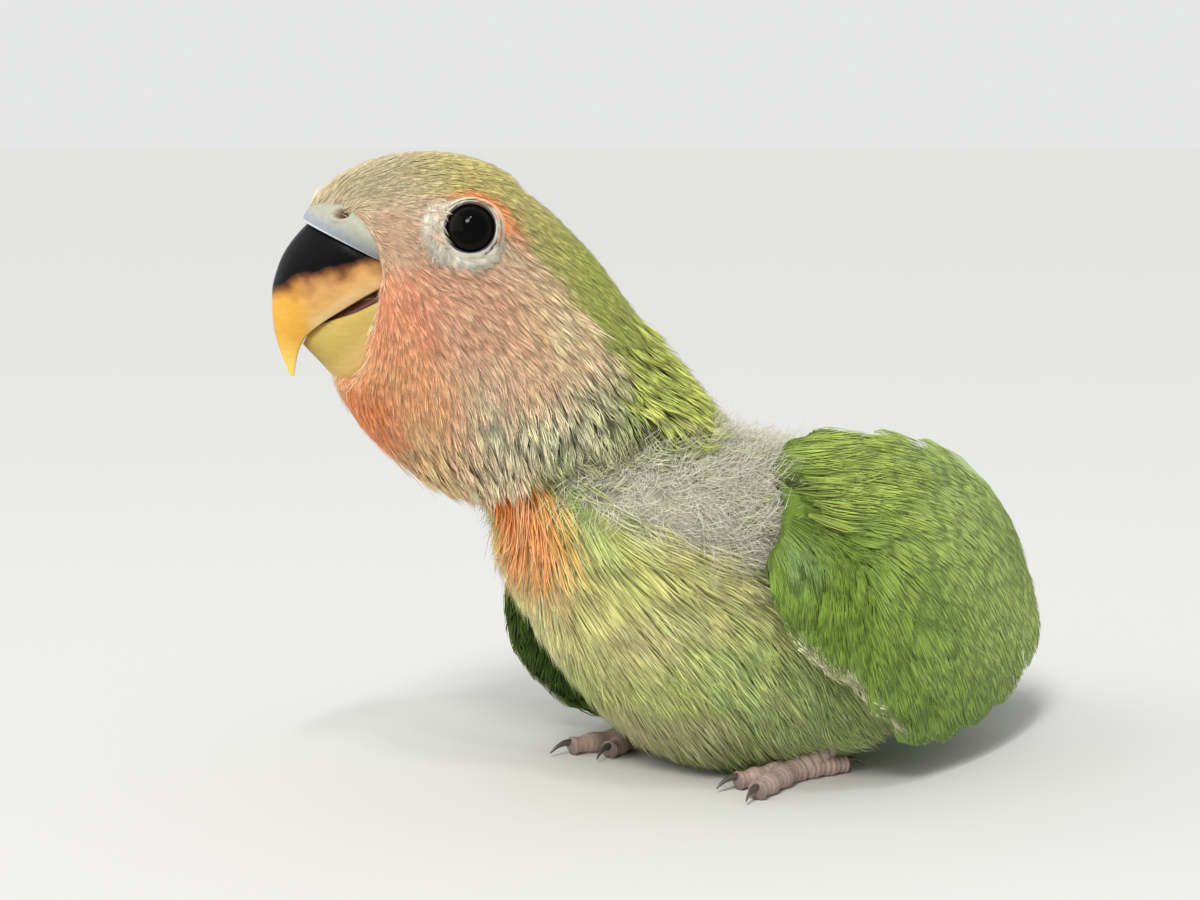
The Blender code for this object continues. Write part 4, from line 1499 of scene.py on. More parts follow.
UPPER_BILL = (
    Station((20.6, 56.6), (27.0, 62.6), 5.2), Station((22.6, 55.6), (29.6, 62.2), 5.6),
    Station((24.6, 54.5), (32.3, 60.7), 5.9), Station((26.6, 53.4), (34.7, 57.9), 5.2),
    Station((29.0, 52.0), (35.9, 54.9), 4.2), Station((31.2, 50.6), (36.1, 53.0), 3.3),
    Station((32.8, 49.2), (36.0, 50.4), 2.3), Station((33.6, 47.5), (35.4, 47.9), 1.4),
    Station((34.0, 45.4), (34.4, 45.3), 0.4),
)
LOWER_BILL = (
    Station((20.4, 55.4), (21.0, 47.4), 4.6), Station((22.6, 54.9), (24.0, 45.6), 4.9),
    Station((24.6, 53.8), (27.0, 44.0), 5.1), Station((27.6, 52.1), (29.6, 44.9), 4.5),
    Station((30.0, 51.2), (31.6, 46.9), 3.4), Station((32.1, 50.3), (33.1, 48.5), 1.8),
)
CERE = (
    Station((20.6, 58.0), (25.0, 63.2), 6.3), Station((23.0, 57.6), (27.6, 63.1), 7.1),
    Station((24.2, 57.5), (30.0, 63.2), 7.2), Station((24.9, 57.3), (32.2, 62.2), 6.6),
    Station((25.2, 57.0), (33.0, 60.9), 5.95),
)
# Where feathers reach past the head's solid: from the crown to the cere, at the nape and under the bill
CROWN = (
    Station((11.0, 59.0), (11.5, 65.6), 7.6), Station((15.5, 59.5), (16.0, 67.6), 8.8),
    Station((20.5, 60.0), (21.0, 68.2), 8.8), Station((24.5, 60.5), (25.6, 67.6), 7.4),
    Station((27.0, 61.0), (28.9, 66.0), 5.8), Station((28.4, 61.0), (30.9, 64.5), 4.6),
    Station((29.4, 60.8), (32.2, 63.1), 3.2), Station((30.0, 60.6), (33.0, 61.9), 1.8),
)
NAPE = (
    Station((10.0, 57.0), (12.6, 65.4), 6.6), Station((6.0, 55.0), (9.9, 63.5), 7.0),
    Station((3.0, 52.0), (6.9, 60.9), 7.2), Station((0.5, 49.0), (3.7, 57.6), 7.2),
    Station((-2.0, 46.0), (1.0, 53.8), 7.2), Station((-4.0, 43.0), (-1.6, 49.0), 7.0),
    Station((-6.5, 40.0), (-4.6, 44.8), 6.4),
)
CHIN = (
    Station((20.0, 40.0), (20.5, 46.0), 5.0), Station((24.0, 40.8), (24.5, 46.0), 5.2),
    Station((27.0, 42.0), (27.2, 46.0), 4.6), Station((29.0, 43.2), (29.3, 46.2), 3.4),
    Station((30.2, 44.2), (30.4, 46.4), 1.8),
)
LOWER_ROUNDNESS = 2.15
EDGE_FLATNESS = 0.04


def curve_through(rows: Array, places: Array) -> Array:
    """Values on a Catmull-Rom curve through rows, at places counted in rows.

    Args:
        rows: The values to pass through.
        places: Where to read them.

    Returns:
        A row for each place.
    """
    last = len(rows) - 1
    index = np.minimum(places.astype(int), last - 1)
    part = (places - index)[:, None]
    first, second = rows[index], rows[index + 1]
    slope_in = (second - rows[np.maximum(index - 1, 0)]) / 2
    slope_out = (rows[np.minimum(index + 2, last)] - first) / 2
    square, cube = part ** 2, part ** 3
    return (
        (2 * cube - 3 * square + 1) * first
        + (cube - 2 * square + part) * slope_in
        + (3 * square - 2 * cube) * second
        + (cube - square) * slope_out
    )


def loft(stations: tuple[Station, ...], rings: int, sides: int) -> tuple[Array, Array, Array]:
    """A closed smooth skin through stations of the head's plane.

    Args:
        stations: The cross sections.
        rings: How many rings it has.
        sides: How many points a ring has.

    Returns:
        Rows of (along, up, aside), the triangles, and each point's share of the way along.
    """
    rows = np.array([(*s.low, *s.high, s.half_width, s.roundness) for s in stations])
    mixed = curve_through(rows, np.linspace(0, len(stations) - 1, rings))
    angles = 2 * math.pi * np.arange(sides) / sides
    points = []
    for low_a, low_u, high_a, high_u, half, roundness in mixed:
        power = np.where(np.sin(angles) > 0, 2 / roundness, 2 / LOWER_ROUNDNESS)
        aside = np.sign(np.cos(angles)) * np.abs(np.cos(angles)) ** power
        height = np.sign(np.sin(angles)) * np.abs(np.sin(angles)) ** power
        low, high = np.array([low_a, low_u]), np.array([high_a, high_u])
        middle = low + (high - low) * EDGE_FLATNESS
        span = np.where(height[:, None] > 0, high - middle, middle - low)
        spot = middle + span * height[:, None]
        points.append(np.concatenate([spot, (aside * half)[:, None]], 1))
    points = np.array(points)
    flat = points.reshape(-1, 3)
    triangles = [grid_triangles(rings, sides, closed=True)]
    caps, ends = [], []
    for ring, inner in ((0, 1), (rings - 1, rings - 2)):
        centre = points[ring].mean(0)
        caps.append(centre + (centre - points[inner].mean(0)) * 0.4)
        ends.append(fan(ring, sides, len(flat) + len(caps) - 1))
    flat = np.concatenate([flat, np.array(caps)])
    share = np.concatenate([np.repeat(np.linspace(0, 1, rings), sides), [0.0, 1.0]])
    return flat, np.concatenate(triangles + ends), share


def set_number(mesh: bpy.types.Mesh, name: str, values: Array) -> None:
    """Stores a number at each vertex."""
    layer = mesh.attributes.new(name, "FLOAT", "POINT")
    layer.data.foreach_set("value", values.astype(np.float32))


@dataclass
class Bill:
    """The hooked upper bill, the lower bill, the mouth's lining and the cere with its nostrils."""

    drawing: Drawing
    feather_finish: bpy.types.Material
    chance: np.random.Generator
    nostril: tuple[float, float] = (28.9, 61.7)
    nostril_size: tuple[float, float] = (0.85, 0.5)
    gape_along: tuple[float, ...] = (24.6, 26.3, 28.3, 29.8, 31.6)
    gape_up: tuple[float, ...] = (54.3, 53.3, 52.2, 51.2, 50.1)
    border_front: tuple[float, float] = (35.8, 53.7)
    border_back: tuple[float, float] = (25.3, 57.1)
    horn: Colour = paint(197, 153, 93)
    horn_front: Colour = paint(212, 160, 68)
    horn_edge: Colour = paint(222, 192, 138)
    horn_hook: Colour = paint(236, 200, 104)
    lower_horn: Colour = paint(178, 155, 84)
    lower_keel: Colour = paint(218, 186, 120)
    lower_root: Colour = paint(198, 174, 128)
    mouth: Colour = paint(92, 50, 40)
    beard_colours: tuple[Colour, Colour] = (paint(250, 190, 140), paint(250, 228, 190))
    cere: Colour = paint(158, 158, 139)
    cere_low: Colour = paint(122, 136, 162)
    cere_edge: Colour = paint(214, 214, 202)
    nostril_rim: Colour = paint(120, 82, 60)
    nostril_shade: Colour = paint(40, 24, 18)
    lining: tuple[Station, ...] = (
        Station((22.0, 53.6), (22.6, 55.9), 5.0),
        Station((25.0, 53.2), (25.2, 54.8), 5.2),
        Station((28.0, 51.6), (28.4, 52.8), 4.0),
        Station((30.6, 50.5), (30.8, 51.2), 2.7),
        Station((32.2, 49.5), (32.4, 50.2), 1.6),
    )
    beard: Tuft = Tuft(
        2.4, 0.35, 3, 0.07, 0.7, 4, 0.1, stray=0.25, root_shade=0.7, tip_shade=1.08, variety=0.1
    )

    def add(self, name: str, local: Array, triangles: Array, finish: bpy.types.Material) -> bpy.types.Object:
        """Adds a piece from rows of the head's plane."""
        points = HEAD_PLANE.world(local)
        return add_mesh(name, MeshData(points, turned_outwards(points, triangles)), self.drawing, finish)

    def build_upper(self) -> None:
        """Black horn above the border, yellow at the hook, peach at the side, a cream cutting edge."""
        local, triangles, _ = loft(UPPER_BILL, 120, 84)
        along, up = local[:, 0], local[:, 1]
        (front, front_up), (back, back_up) = self.border_front, self.border_back
        border = (up - front_up) + (along - front) * (back_up - front_up) / (front - back)
        tint = repeated(self.horn, len(local))
        tint = blend(tint, self.horn_front, rise(along + 0.25 * (54.0 - up), 31.8, 34.4))
        above_edge = up - np.interp(along, self.gape_along, self.gape_up)
        cream = (1.0 - rise(above_edge, 0.9, 1.9)) * (1.0 - rise(along, 31.0, 33.0))
        tint = blend(tint, self.horn_edge, cream)
        tint = blend(tint, self.horn_hook, (1.0 - rise(up, 46.0, 50.0)) * rise(along, 32.0, 33.0))
        ridge = 0.22 * np.exp(-(((above_edge - 1.5) / 0.45) ** 2)) * (1.0 - rise(along, 30.5, 32.5))
        local[:, 2] += np.sign(local[:, 2]) * ridge * rise(np.abs(local[:, 2]), 1.0, 2.5)
        piece = self.add("beak_upper_horn", local, triangles, BillFinish().make("upper bill horn"))
        set_tint(piece.data, tint)
        set_number(piece.data, "Border", np.clip(0.5 + border / BORDER_SPAN, 0.0, 1.0))
        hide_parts("beak_upper")

    def build_lower(self) -> None:
        """Yellow, cream at the edge and the tip, greyer at the root."""
        local, triangles, _ = loft(LOWER_BILL, 70, 64)
        along, up = local[:, 0], local[:, 1]
        tint = repeated(self.lower_horn, len(local))
        keel = 0.8 * (1.0 - rise(up - 0.9 * (30.0 - along), 44.5, 48.0))
        tint = blend(tint, self.lower_keel, keel)
        tint = blend(tint, self.lower_root, 1.0 - rise(along, 24.0, 27.0))
        finish = BillFinish(roughness=0.4, has_border=False)
        piece = self.add("beak_lower_horn", local, triangles, finish.make("lower bill horn"))
        set_tint(piece.data, tint)
        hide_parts("beak_lower")
        self.build_beard(local, triangles)

    def build_beard(self, local: Array, triangles: Array) -> None:
        """Pale strands from the skin's edge, down and forwards over the root of the lower bill.

        Args:
            local: The lower bill's points in the head's plane.
            triangles: Its triangles.
        """
        points = HEAD_PLANE.world(local)
        forward, up, _ = HEAD_PLANE.axes
        lies = repeated(forward * 0.5 - up, len(points))
        pelt = Pelt(points, turned_outwards(points, triangles), lies, points)
        middles = HEAD_PLANE.local(pelt.middles)
        behind = middles[:, 0] - np.interp(middles[:, 1], (45.0, 47.2, 55.6), (27.6, 27.3, 24.8))
        density = 5.5 * rise(behind, -2.6, -1.8) * (1.0 - rise(behind, -0.9, -0.1))
        roots, _ = pelt.scatter(density, self.chance)
        peach, cream = self.beard_colours
        tone = blend(repeated(peach, len(roots)), cream, self.chance.random(len(roots)))
        data = lay_tufts(pelt, self.beard, roots, tone, self.chance)
        piece = add_mesh("coat_beard", data, self.drawing, self.feather_finish)

    def build_mouth(self) -> None:
        """A dark lining that shows in the slightly open gape."""
        local, triangles, _ = loft(self.lining, 24, 32)
        finish = TintFinish(0.5, 0.0, 0.5)
        piece = self.add("mouth_lining", local, triangles, finish.make("mouth lining"))
        set_tint(piece.data, repeated(self.mouth, len(local)))

    def build_cere(self) -> None:
        """Pale skin over the root, with two oval nostrils in low rims, their dents painted dark as shade."""
        local, triangles, share = loft(CERE, 90, 120)
        tint = repeated(self.cere, len(local))
        low = 1.0 - rise(local[:, 1] - 0.55 * (local[:, 0] - 27.0), 57.2, 60.2)
        tint = blend(tint, self.cere_low, 0.75 * low)
        edge = 0.6 * rise(share, 0.93, 0.97) * (1.0 - rise(share, 0.985, 1.0))
        tint = blend(tint, self.cere_edge, edge)
        middle = local.mean(0)
        for side in Side:
            along, up = self.nostril
            east = (local[:, 0] - along) / self.nostril_size[0]
            north = (local[:, 1] - up + 0.25 * (local[:, 0] - along)) / self.nostril_size[1]
            away = np.hypot(east, north) + 9.0 * (local[:, 2] * side < 1.5)
            dent = 1.0 - rise(away, 0.45, 1.05)
            rim = np.exp(-((away - 1.35) / 0.35) ** 2)
            inward = unit(middle - local)
            local = local + inward * (0.9 * dent - 0.14 * rim)[:, None]
            tint = blend(tint, self.nostril_rim, 1.0 - rise(away, 0.75, 1.15))
            # Painted shade: the nostril's dent is painted nearly black
            tint = blend(tint, self.nostril_shade, 1.0 - rise(away, 0.3, 0.85))
        finish = TintFinish(0.55, 0.0, 0.4, 0.09, 1400.0, 0.4, 0.25)
        piece = self.add("cere_skin_piece", local, triangles, finish.make("cere skin"))
        set_tint(piece.data, tint)
        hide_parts("cere")

    def build(self) -> None:
        """Builds all of them."""
        self.build_upper()
        self.build_lower()
        self.build_mouth()
        self.build_cere()


@dataclass
class Eye:
    """One eye with its lids, the bare ring round them and the white feathers round that."""

    side: Side
    drawing: Drawing
    pelt: Pelt
    feather_finish: bpy.types.Material
    ring_count: int = 1150
    lid_inner: Colour = paint(64, 64, 72)
    lid_outer: Colour = paint(206, 200, 184)
    lid_top: Colour = paint(226, 214, 176)
    ring_grey: Colour = paint(216, 210, 192)
    ring: Tuft = Tuft(
        1.6, 0.2, 3, 0.05, 0.3, 3, 0.05, (0.4, 1.0, 0.9), 0.2, root_shade=0.62, tip_shade=1.15, variety=0.16
    )
    lid_profile: tuple[tuple[float, float], ...] = (
        (2.30, -0.35), (2.36, -0.02), (2.44, 0.12), (2.54, 0.1), (2.66, 0.0), (2.82, -0.02),
        (2.98, -0.12), (3.12, -0.45), (3.2, -1.0), (3.34, -1.7), (3.5, -2.5), (3.6, -3.4),
    )

    def frame(self) -> tuple[Array, Array, Array, Array]:
        """The opening's middle, the way it looks, and two directions square to that: back and up."""
        axis = eye_axis(self.side)
        up = unit(np.array([0.0, 0.0, 1.0]) - axis * axis[2])
        back = unit(-HEAD_PLANE.axes[0] + axis * (HEAD_PLANE.axes[0] @ axis))
        return eye_opening(self.side), axis, back, unit(up - back * (up @ back))

    def build_ball(self) -> None:
        """The eyeball, from a sphere whose pole looks outwards, with the cornea's low bulge."""
        opening, axis, _, _ = self.frame()
        centre = opening - axis * EYE_DEPTH
        deselect()
        bpy.ops.mesh.primitive_uv_sphere_add(
            segments=64,
            ring_count=48,
            radius=EYE_RADIUS * MM,
            location=self.drawing.to_frame(centre),
            rotation=Vector(axis).to_track_quat("Z", "Y").to_euler(),
        )
        ball = bpy.context.object
        ball.name = f"eyeball_{self.side.word}"
        bpy.ops.object.transform_apply(location=True, rotation=True, scale=True)
        bpy.ops.object.shade_smooth()
        mesh = ball.data
        points = self.drawing.to_drawing(read_rows(mesh, "co"))
        reach = unit(points - centre)
        angle = np.arccos(np.clip(reach @ axis, -1.0, 1.0))
        points += reach * (0.12 * (1.0 - rise(angle, 0.25, 0.8)))[:, None]
        mesh.vertices.foreach_set("co", self.drawing.to_frame(points).astype(np.float32).ravel())
        set_number(mesh, "Pole", np.clip(angle / 1.2, 0.0, 1.0))
        mesh.materials.append(EyeFinish().make(f"eye_{self.side.word}"))
        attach(ball, "root")
        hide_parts("eye_" + self.side.word)

    def build_lids(self) -> None:
        """The bare ring: a rolled, beaded lid edge, and wrinkled grey skin that dips under the coat."""
        opening, axis, back, up = self.frame()
        rows, steps = len(self.lid_profile), 120
        profile = curve_through(np.array(self.lid_profile), np.linspace(0, rows - 1, 34))
        turn = 2 * math.pi * np.arange(steps) / steps
        around = np.cos(turn)[:, None] * back + np.sin(turn)[:, None] * up
        points, tints = [], []
        for radius, height in profile:
            bead = 0.03 * np.sin(turn * 40) * math.exp(-(((radius - 2.5) / 0.25) ** 2))
            crease = 0.025 * np.sin(turn * 23 + radius * 9.0) * math.exp(-(((radius - 2.85) / 0.25) ** 2))
            points.append(opening + around * radius + axis * (height + bead + crease)[:, None])
            outer = np.full(steps, min(1.0, max(0.0, radius - 2.94) / 0.15))
            grey = blend(repeated(self.lid_inner, steps), self.lid_outer, outer)
            pale = rise(np.sin(turn), 0.1, 0.9) * (0.75 if radius > 2.88 else 0.1)
            skin = blend(grey, self.lid_top, pale)
            tints.append(blend(skin, hood_colour(points[-1]), np.full(steps, 0.9 * (height < -0.8))))
        points = np.array(points)
        triangles = grid_triangles(len(profile), steps, closed=True)
        flat = points.reshape(-1, 3)
        facing = crosses(flat, triangles).sum(0) @ axis
        triangles = triangles if facing > 0 else triangles[:, ::-1]
        finish = TintFinish(0.65, 0.0, 0.2, 0.12, 2600.0, 0.4, 0.15)
        data = MeshData(flat, triangles, np.concatenate(tints))
        skin = finish.make(f"lid skin {self.side.word}")
        piece = add_mesh(f"eyelids_{self.side.word}", data, self.drawing, skin)

    def build_ring(self, chance: np.random.Generator) -> None:
        """Small white feathers that sweep back round the bare ring, and orange ones above.

        Args:
            chance: The seeded source of random numbers.
        """
        opening, _, back, up = self.frame()
        count = self.ring_count
        turn = chance.uniform(0.0, 2 * math.pi, count)
        sine, cosine = np.sin(turn)[:, None], np.cos(turn)[:, None]
        above = rise(sine[:, 0], 0.1, 0.8)
        behind = rise(cosine[:, 0], 0.3, 0.95)
        below = rise(-sine[:, 0], 0.4, 0.9)
        radius = 3.02 + chance.random(count) * (1.2 - 0.5 * above - 0.5 * behind - 0.5 * below)
        outward = cosine * back + sine * up
        sweep = np.sign(chance.normal(0.0, 0.25, (count, 1)) - sine) * (cosine * up - sine * back)
        roots = opening + outward * radius[:, None]
        headings = unit(sweep + outward * 0.5)
        white = blend(repeated(EYE_RING_WHITE, count), self.ring_grey, 0.7 * chance.random(count))
        warm = rise(sine[:, 0] + 0.5 * cosine[:, 0], -0.1, 0.5) * rise(radius, 3.15, 3.4)
        colours = blend(white, EYE_ARC, warm)
        data = lay_tufts(self.pelt, self.ring, roots, colours, chance, headings=headings)
        piece = add_mesh(f"coat_eye_ring_{self.side.word}", data, self.drawing, self.feather_finish)

    def build(self, chance: np.random.Generator) -> None:
        """Builds all of them."""
        self.build_ball()
        self.build_lids()
        self.build_ring(chance)


WING_CORE_OUTLINE = (
    (-180.0, 9.9), (-150.0, 10.0), (-120.0, 10.8), (-95.0, 12.2), (-72.0, 16.5), (-45.0, 22.0),
    (-25.0, 27.0), (-10.0, 27.0), (10.0, 21.0), (40.0, 15.0), (60.0, 13.6), (85.0, 11.6), (110.0, 10.5),
    (135.0, 8.0), (155.0, 8.0), (180.0, 9.9),
)
WING_TIP_OUTLINE = (
    (-88.0, 13.5), (-76.0, 17.0), (-60.0, 24.0), (-48.0, 28.5), (-38.0, 32.0), (-28.0, 38.0),
    (-20.0, 44.0), (-13.0, 45.5), (-5.0, 43.0), (4.0, 36.0), (16.0, 26.5), (34.0, 19.2), (50.0, 14.6),
)


@dataclass(frozen=True)
class Tier:
    """A row of vanes from the wing's upper edge to its lower, in degrees and millimetres."""

    count: int
    angles: tuple[float, float]
    reach: float
    length: float
    turn: float
    half_width: float
    lift: float
    shade: float = 1.0
    rise: float = 0.35


@dataclass
class Vanes:
    """Feather blades on a curved surface: closed thin grids with a rounded tip and a shaft."""

    rows: int = 9
    columns: int = 7
    thickness: float = 0.09
    camber: float = 0.18

    def outline(self, share: Array) -> Array:
        """The half width along a vane, as a share of the widest."""
        root = np.minimum(1.0, 0.35 + (share / 0.3) ** 0.8 * 0.65)
        tip = np.sqrt(np.maximum(0.0, 1.0 - (np.maximum(0.0, share - 0.62) / 0.385) ** 2.3))
        return root * tip

    def make(
        self,
        surface: Surface,
        root: Array,
        tip: Array,
        half_width: float,
        lifts: tuple[float, float],
        colour: Array,
        edge: Array,
        curl: float,
        roll: float,
        chance: np.random.Generator,
    ) -> MeshData:
        """One vane.

        Args:
            surface: Gives drawing points for places on it and their lift.
            root: Where the shaft starts on the surface.
            tip: Where it ends.
            half_width: Half of its greatest width.
            lifts: Its height above the surface at root and tip.
            colour: Its colour.
            edge: The colour of its rim.
            curl: How far the shaft bends aside.
            roll: How much lower its lower edge is.
            chance: The seeded source of random numbers.

        Returns:
            The vane.
        """
        share = np.linspace(0.0, 1.0, self.rows) ** 0.9
        across = np.linspace(-1.0, 1.0, self.columns)
        way = unit(tip - root)
        side = np.array([-way[1], way[0]])
        length = np.linalg.norm(tip - root)
        wide = self.outline(share)[:, None] * across[None] * half_width
        wide *= 1.0 + chance.normal(0.0, 0.02, wide.shape)
        line = root + (tip - root) * share[:, None] + side * (curl * np.sin(math.pi * share))[:, None]
        flat = line[:, None] + side * wide[..., None]
        flat = flat - way * (0.05 * length * (across ** 2)[None, :, None] * (share ** 2)[:, None, None])
        height = lifts[0] + (lifts[1] - lifts[0]) * share[:, None]
        height = height - self.camber * across[None] ** 2 * (half_width / 3)
        height = height - roll * wide / half_width
        top = surface(flat[..., 0], flat[..., 1], height)
        under = surface(flat[..., 0], flat[..., 1], height - self.thickness)
        size = self.rows * self.columns
        grid = grid_triangles(self.rows, self.columns)
        rim = [(row, 0) for row in range(self.rows)]
        rim += [(self.rows - 1, column) for column in range(1, self.columns)]
        rim += [(row, self.columns - 1) for row in range(self.rows - 2, -1, -1)]
        rim += [(0, column) for column in range(self.columns - 2, 0, -1)]
        around = np.array([row * self.columns + column for row, column in rim])
        beside = np.roll(around, -1)
        wall = np.concatenate([
            np.stack([around, beside, beside + size], 1),
            np.stack([around, beside + size, around + size], 1),
        ])
        triangles = np.concatenate([grid, grid[:, ::-1] + size, wall])
        points = np.concatenate([top.reshape(-1, 3), under.reshape(-1, 3)])
        rimmed = np.clip(np.abs(across)[None] * 0.5 + share[:, None] * 0.55, 0.0, 1.0) ** 5
        # Painted shade: darker towards the root, which lies under the vanes and feathers above it
        tone = (0.72 + 0.3 * rise(share, 0.2, 0.8))[:, None] * np.ones(self.columns)[None]
        tint = blend(np.tile(colour, (self.rows, self.columns, 1)), edge, rimmed) * tone[..., None]
        tint = np.tile(tint.reshape(-1, 3), (2, 1))
        along = share[:, None] * np.ones(self.columns)[None]
        vane_uv = np.stack([wide, length * along], -1).reshape(-1, 2)
        cell_uv = np.stack([0.5 + 0.42 * wide / half_width, 0.08 + 0.84 * along], -1).reshape(-1, 2)
        triangles = turned_outwards(points, triangles)
        return MeshData(points, triangles, tint, np.tile(cell_uv, (2, 1)), np.tile(vane_uv, (2, 1)))

    @staticmethod
    def in_cells(vanes: list[MeshData]) -> MeshData:
        """The vanes as one mesh, each with its own cell of the coat's map.

        Args:
            vanes: The vanes.

        Returns:
            The mesh.
        """
        cells = math.ceil(math.sqrt(len(vanes)))
        for index, vane in enumerate(vanes):
            vane.coat_uv = (np.clip(vane.coat_uv, 0.02, 0.98) + (index % cells, index // cells)) / cells
        return MeshData.joined(vanes)


@dataclass
class Wing:
    """A folded wing: a cupped base, short feathers over the arm, and tiers of vanes."""

    side: Side
    droop: float
    drop: float
    drawing: Drawing
    finish: bpy.types.Material
    small_finish: bpy.types.Material
    hub: tuple[float, float] = (-12.0, 27.5)
    thickness: float = 3.0
    stand_off: float = 22.6
    bend_front: float = 7.0
    bend_back: float = 6.2
    bend_place: float = -3.0
    bend_reach: float = 29.0
    fold_level: float = 23.0
    fold: float = 9.0
    fold_reach: float = 16.0
    tuck_level: float = 14.0
    tuck: float = 3.0
    tuck_reach: float = 14.0
    wrap: float = 4.0
    floor_clearance: float = 0.9
    floor_ease: float = 6.5
    green: Colour = paint(132, 160, 56)
    bright: Colour = paint(174, 194, 102)
    cool: Colour = paint(112, 148, 58)
    wrist: Colour = paint(122, 150, 118)
    # Painted shadow: near black, laid into the gap between scapulars and wrist
    gap_shadow: Colour = paint(24, 30, 14)
    lining: Colour = paint(222, 220, 176)
    # The far wing's underside, darker as painted shade
    shadow_lining: Colour = paint(72, 100, 26)
    scapular: Colour = paint(194, 210, 104)
    # Small feathers to the square millimetre
    velvet_density: float = 1.7
    soft_density: float = 0.36
    plume_density: float = 0.45
    fluff_density: float = 0.85
    tiers: tuple[Tier, ...] = (
        Tier(11, (4.0, -70.0), 1.0, 18.0, 12.0, 4.0, -0.55, 0.74, 0.2),
        Tier(11, (2.0, -70.0), 0.9, 15.0, 13.0, 3.6, -0.45, 0.8, 0.18),
        Tier(11, (0.0, -72.0), 0.79, 12.5, 14.0, 3.3, -0.3, 0.86, 0.16),
    )
    velvet: Tuft = Tuft(
        4.2, 1.0, 6, 0.1, 0.16, 3, 0.02, (0.5, 1.0, 0.9), 0.07, root_shade=0.86, tip_shade=1.04, variety=0.04
    )
    soft: Tuft = Tuft(
        6.0, 2.6, 13, 0.24, 0.2, 4, 0.02, (0.6, 1.0, 1.0, 0.75), 0.04, 0.0, 0.12, 0.84, 1.03, 0.02
    )
    plume: Tuft = Tuft(
        6.8, 1.5, 9, 0.12, 0.6, 4, 0.05, (0.3, 0.9, 1.0, 0.7), 0.09,
        root_shade=0.6, tip_shade=1.06, variety=0.06,
    )
    fluff: Tuft = Tuft(3.0, 1.0, 4, 0.22, 0.4, 3, 0.03, (0.4, 1.0, 0.8), 0.15, root_shade=0.6)
    # The small feathers' own angle below straight back, for directions round the hub
    lie_directions: tuple[float, ...] = (-180.0, -135.0, -90.0, -45.0, 0.0, 45.0, 90.0, 135.0, 180.0)
    lie_angles: tuple[float, ...] = (86.0, 88.0, 76.0, 56.0, 38.0, 24.0, 14.0, 40.0, 86.0)

    @property
    def name(self) -> str:
        """The node that the wing stands for."""
        return "wing_" + self.side.word

    def under_tint(self, points: Array) -> Array:
        """The underside: pale below, painted in shade on the far wing, and green above where it meets the
        back.
        """
        below = repeated(self.lining if self.side is Side.LEFT else self.shadow_lining, len(points))
        return blend(below, np.array(self.green) * 0.9, rise(points[:, 2] + self.drop / 2, 20.0, 27.0))

    def surface(self, back: Array, up: Array, lift: Array) -> Array:
        """Drawing points over the bird's side, lifted outwards from the folded wing's bowl.

        Args:
            back: How far back each is.
            up: How high.
            lift: How far off the bowl.

        Returns:
            The points.
        """
        bend = np.where(back < self.bend_place, self.bend_front, self.bend_back)
        bent = (back - self.bend_place) / self.bend_reach
        folded = np.maximum(0.0, up + self.drop / 2 - self.fold_level) / self.fold_reach
        tucked = np.maximum(0.0, self.tuck_level - up) / self.tuck_reach
        behind = np.maximum(0.0, bent) ** 2
        raised = np.maximum(0.0, up - self.tuck_level) / self.fold_reach
        aside = self.stand_off - bend * bent ** 2 - self.fold * folded ** 2 - self.tuck * tucked ** 2
        aside = aside - self.wrap * behind * raised
        slope_back = -2.0 * (bend + self.wrap * raised) * bent / self.bend_reach
        slope_up = 2.0 * self.tuck * tucked / self.tuck_reach
        slope_up = slope_up - (2.0 * self.fold * folded + self.wrap * behind) / self.fold_reach
        outward = unit(np.stack([np.ones_like(back), -slope_back, -slope_up], -1))
        place = np.stack([aside, back, up], -1) + outward * np.asarray(lift)[..., None]
        room = self.floor_ease - self.floor_clearance
        below = np.minimum(0.0, place[..., 2] - FLOOR - self.floor_ease)
        eased = FLOOR + self.floor_clearance + room * np.exp(below / room)
        return np.stack([place[..., 0] * self.side, place[..., 1], np.maximum(place[..., 2], eased)], -1)

    def at(self, angle: Array, reach: Array) -> Array:
        """The (back, up) points at angles above straight back and distances from the hub."""
        turned = np.radians(angle - self.droop)
        back = self.hub[0] + reach * np.cos(turned)
        return np.stack([back, self.hub[1] - self.drop + reach * np.sin(turned)], -1)

    def outline_at(self, outline: tuple, angle: Array) -> Array:
        """The distance from the hub at an angle, eased between the outline's own points.

        Args:
            outline: Its angles and distances.
            angle: The angles asked for.

        Returns:
            A distance for each angle.
        """
        known = np.array(outline)
        index = np.clip(np.searchsorted(known[:, 0], angle) - 1, 0, len(known) - 2)
        part = np.clip((angle - known[index, 0]) / (known[index + 1, 0] - known[index, 0]), 0.0, 1.0)
        part = part * part * (3 - 2 * part)
        return known[index, 1] + (known[index + 1, 1] - known[index, 1]) * part

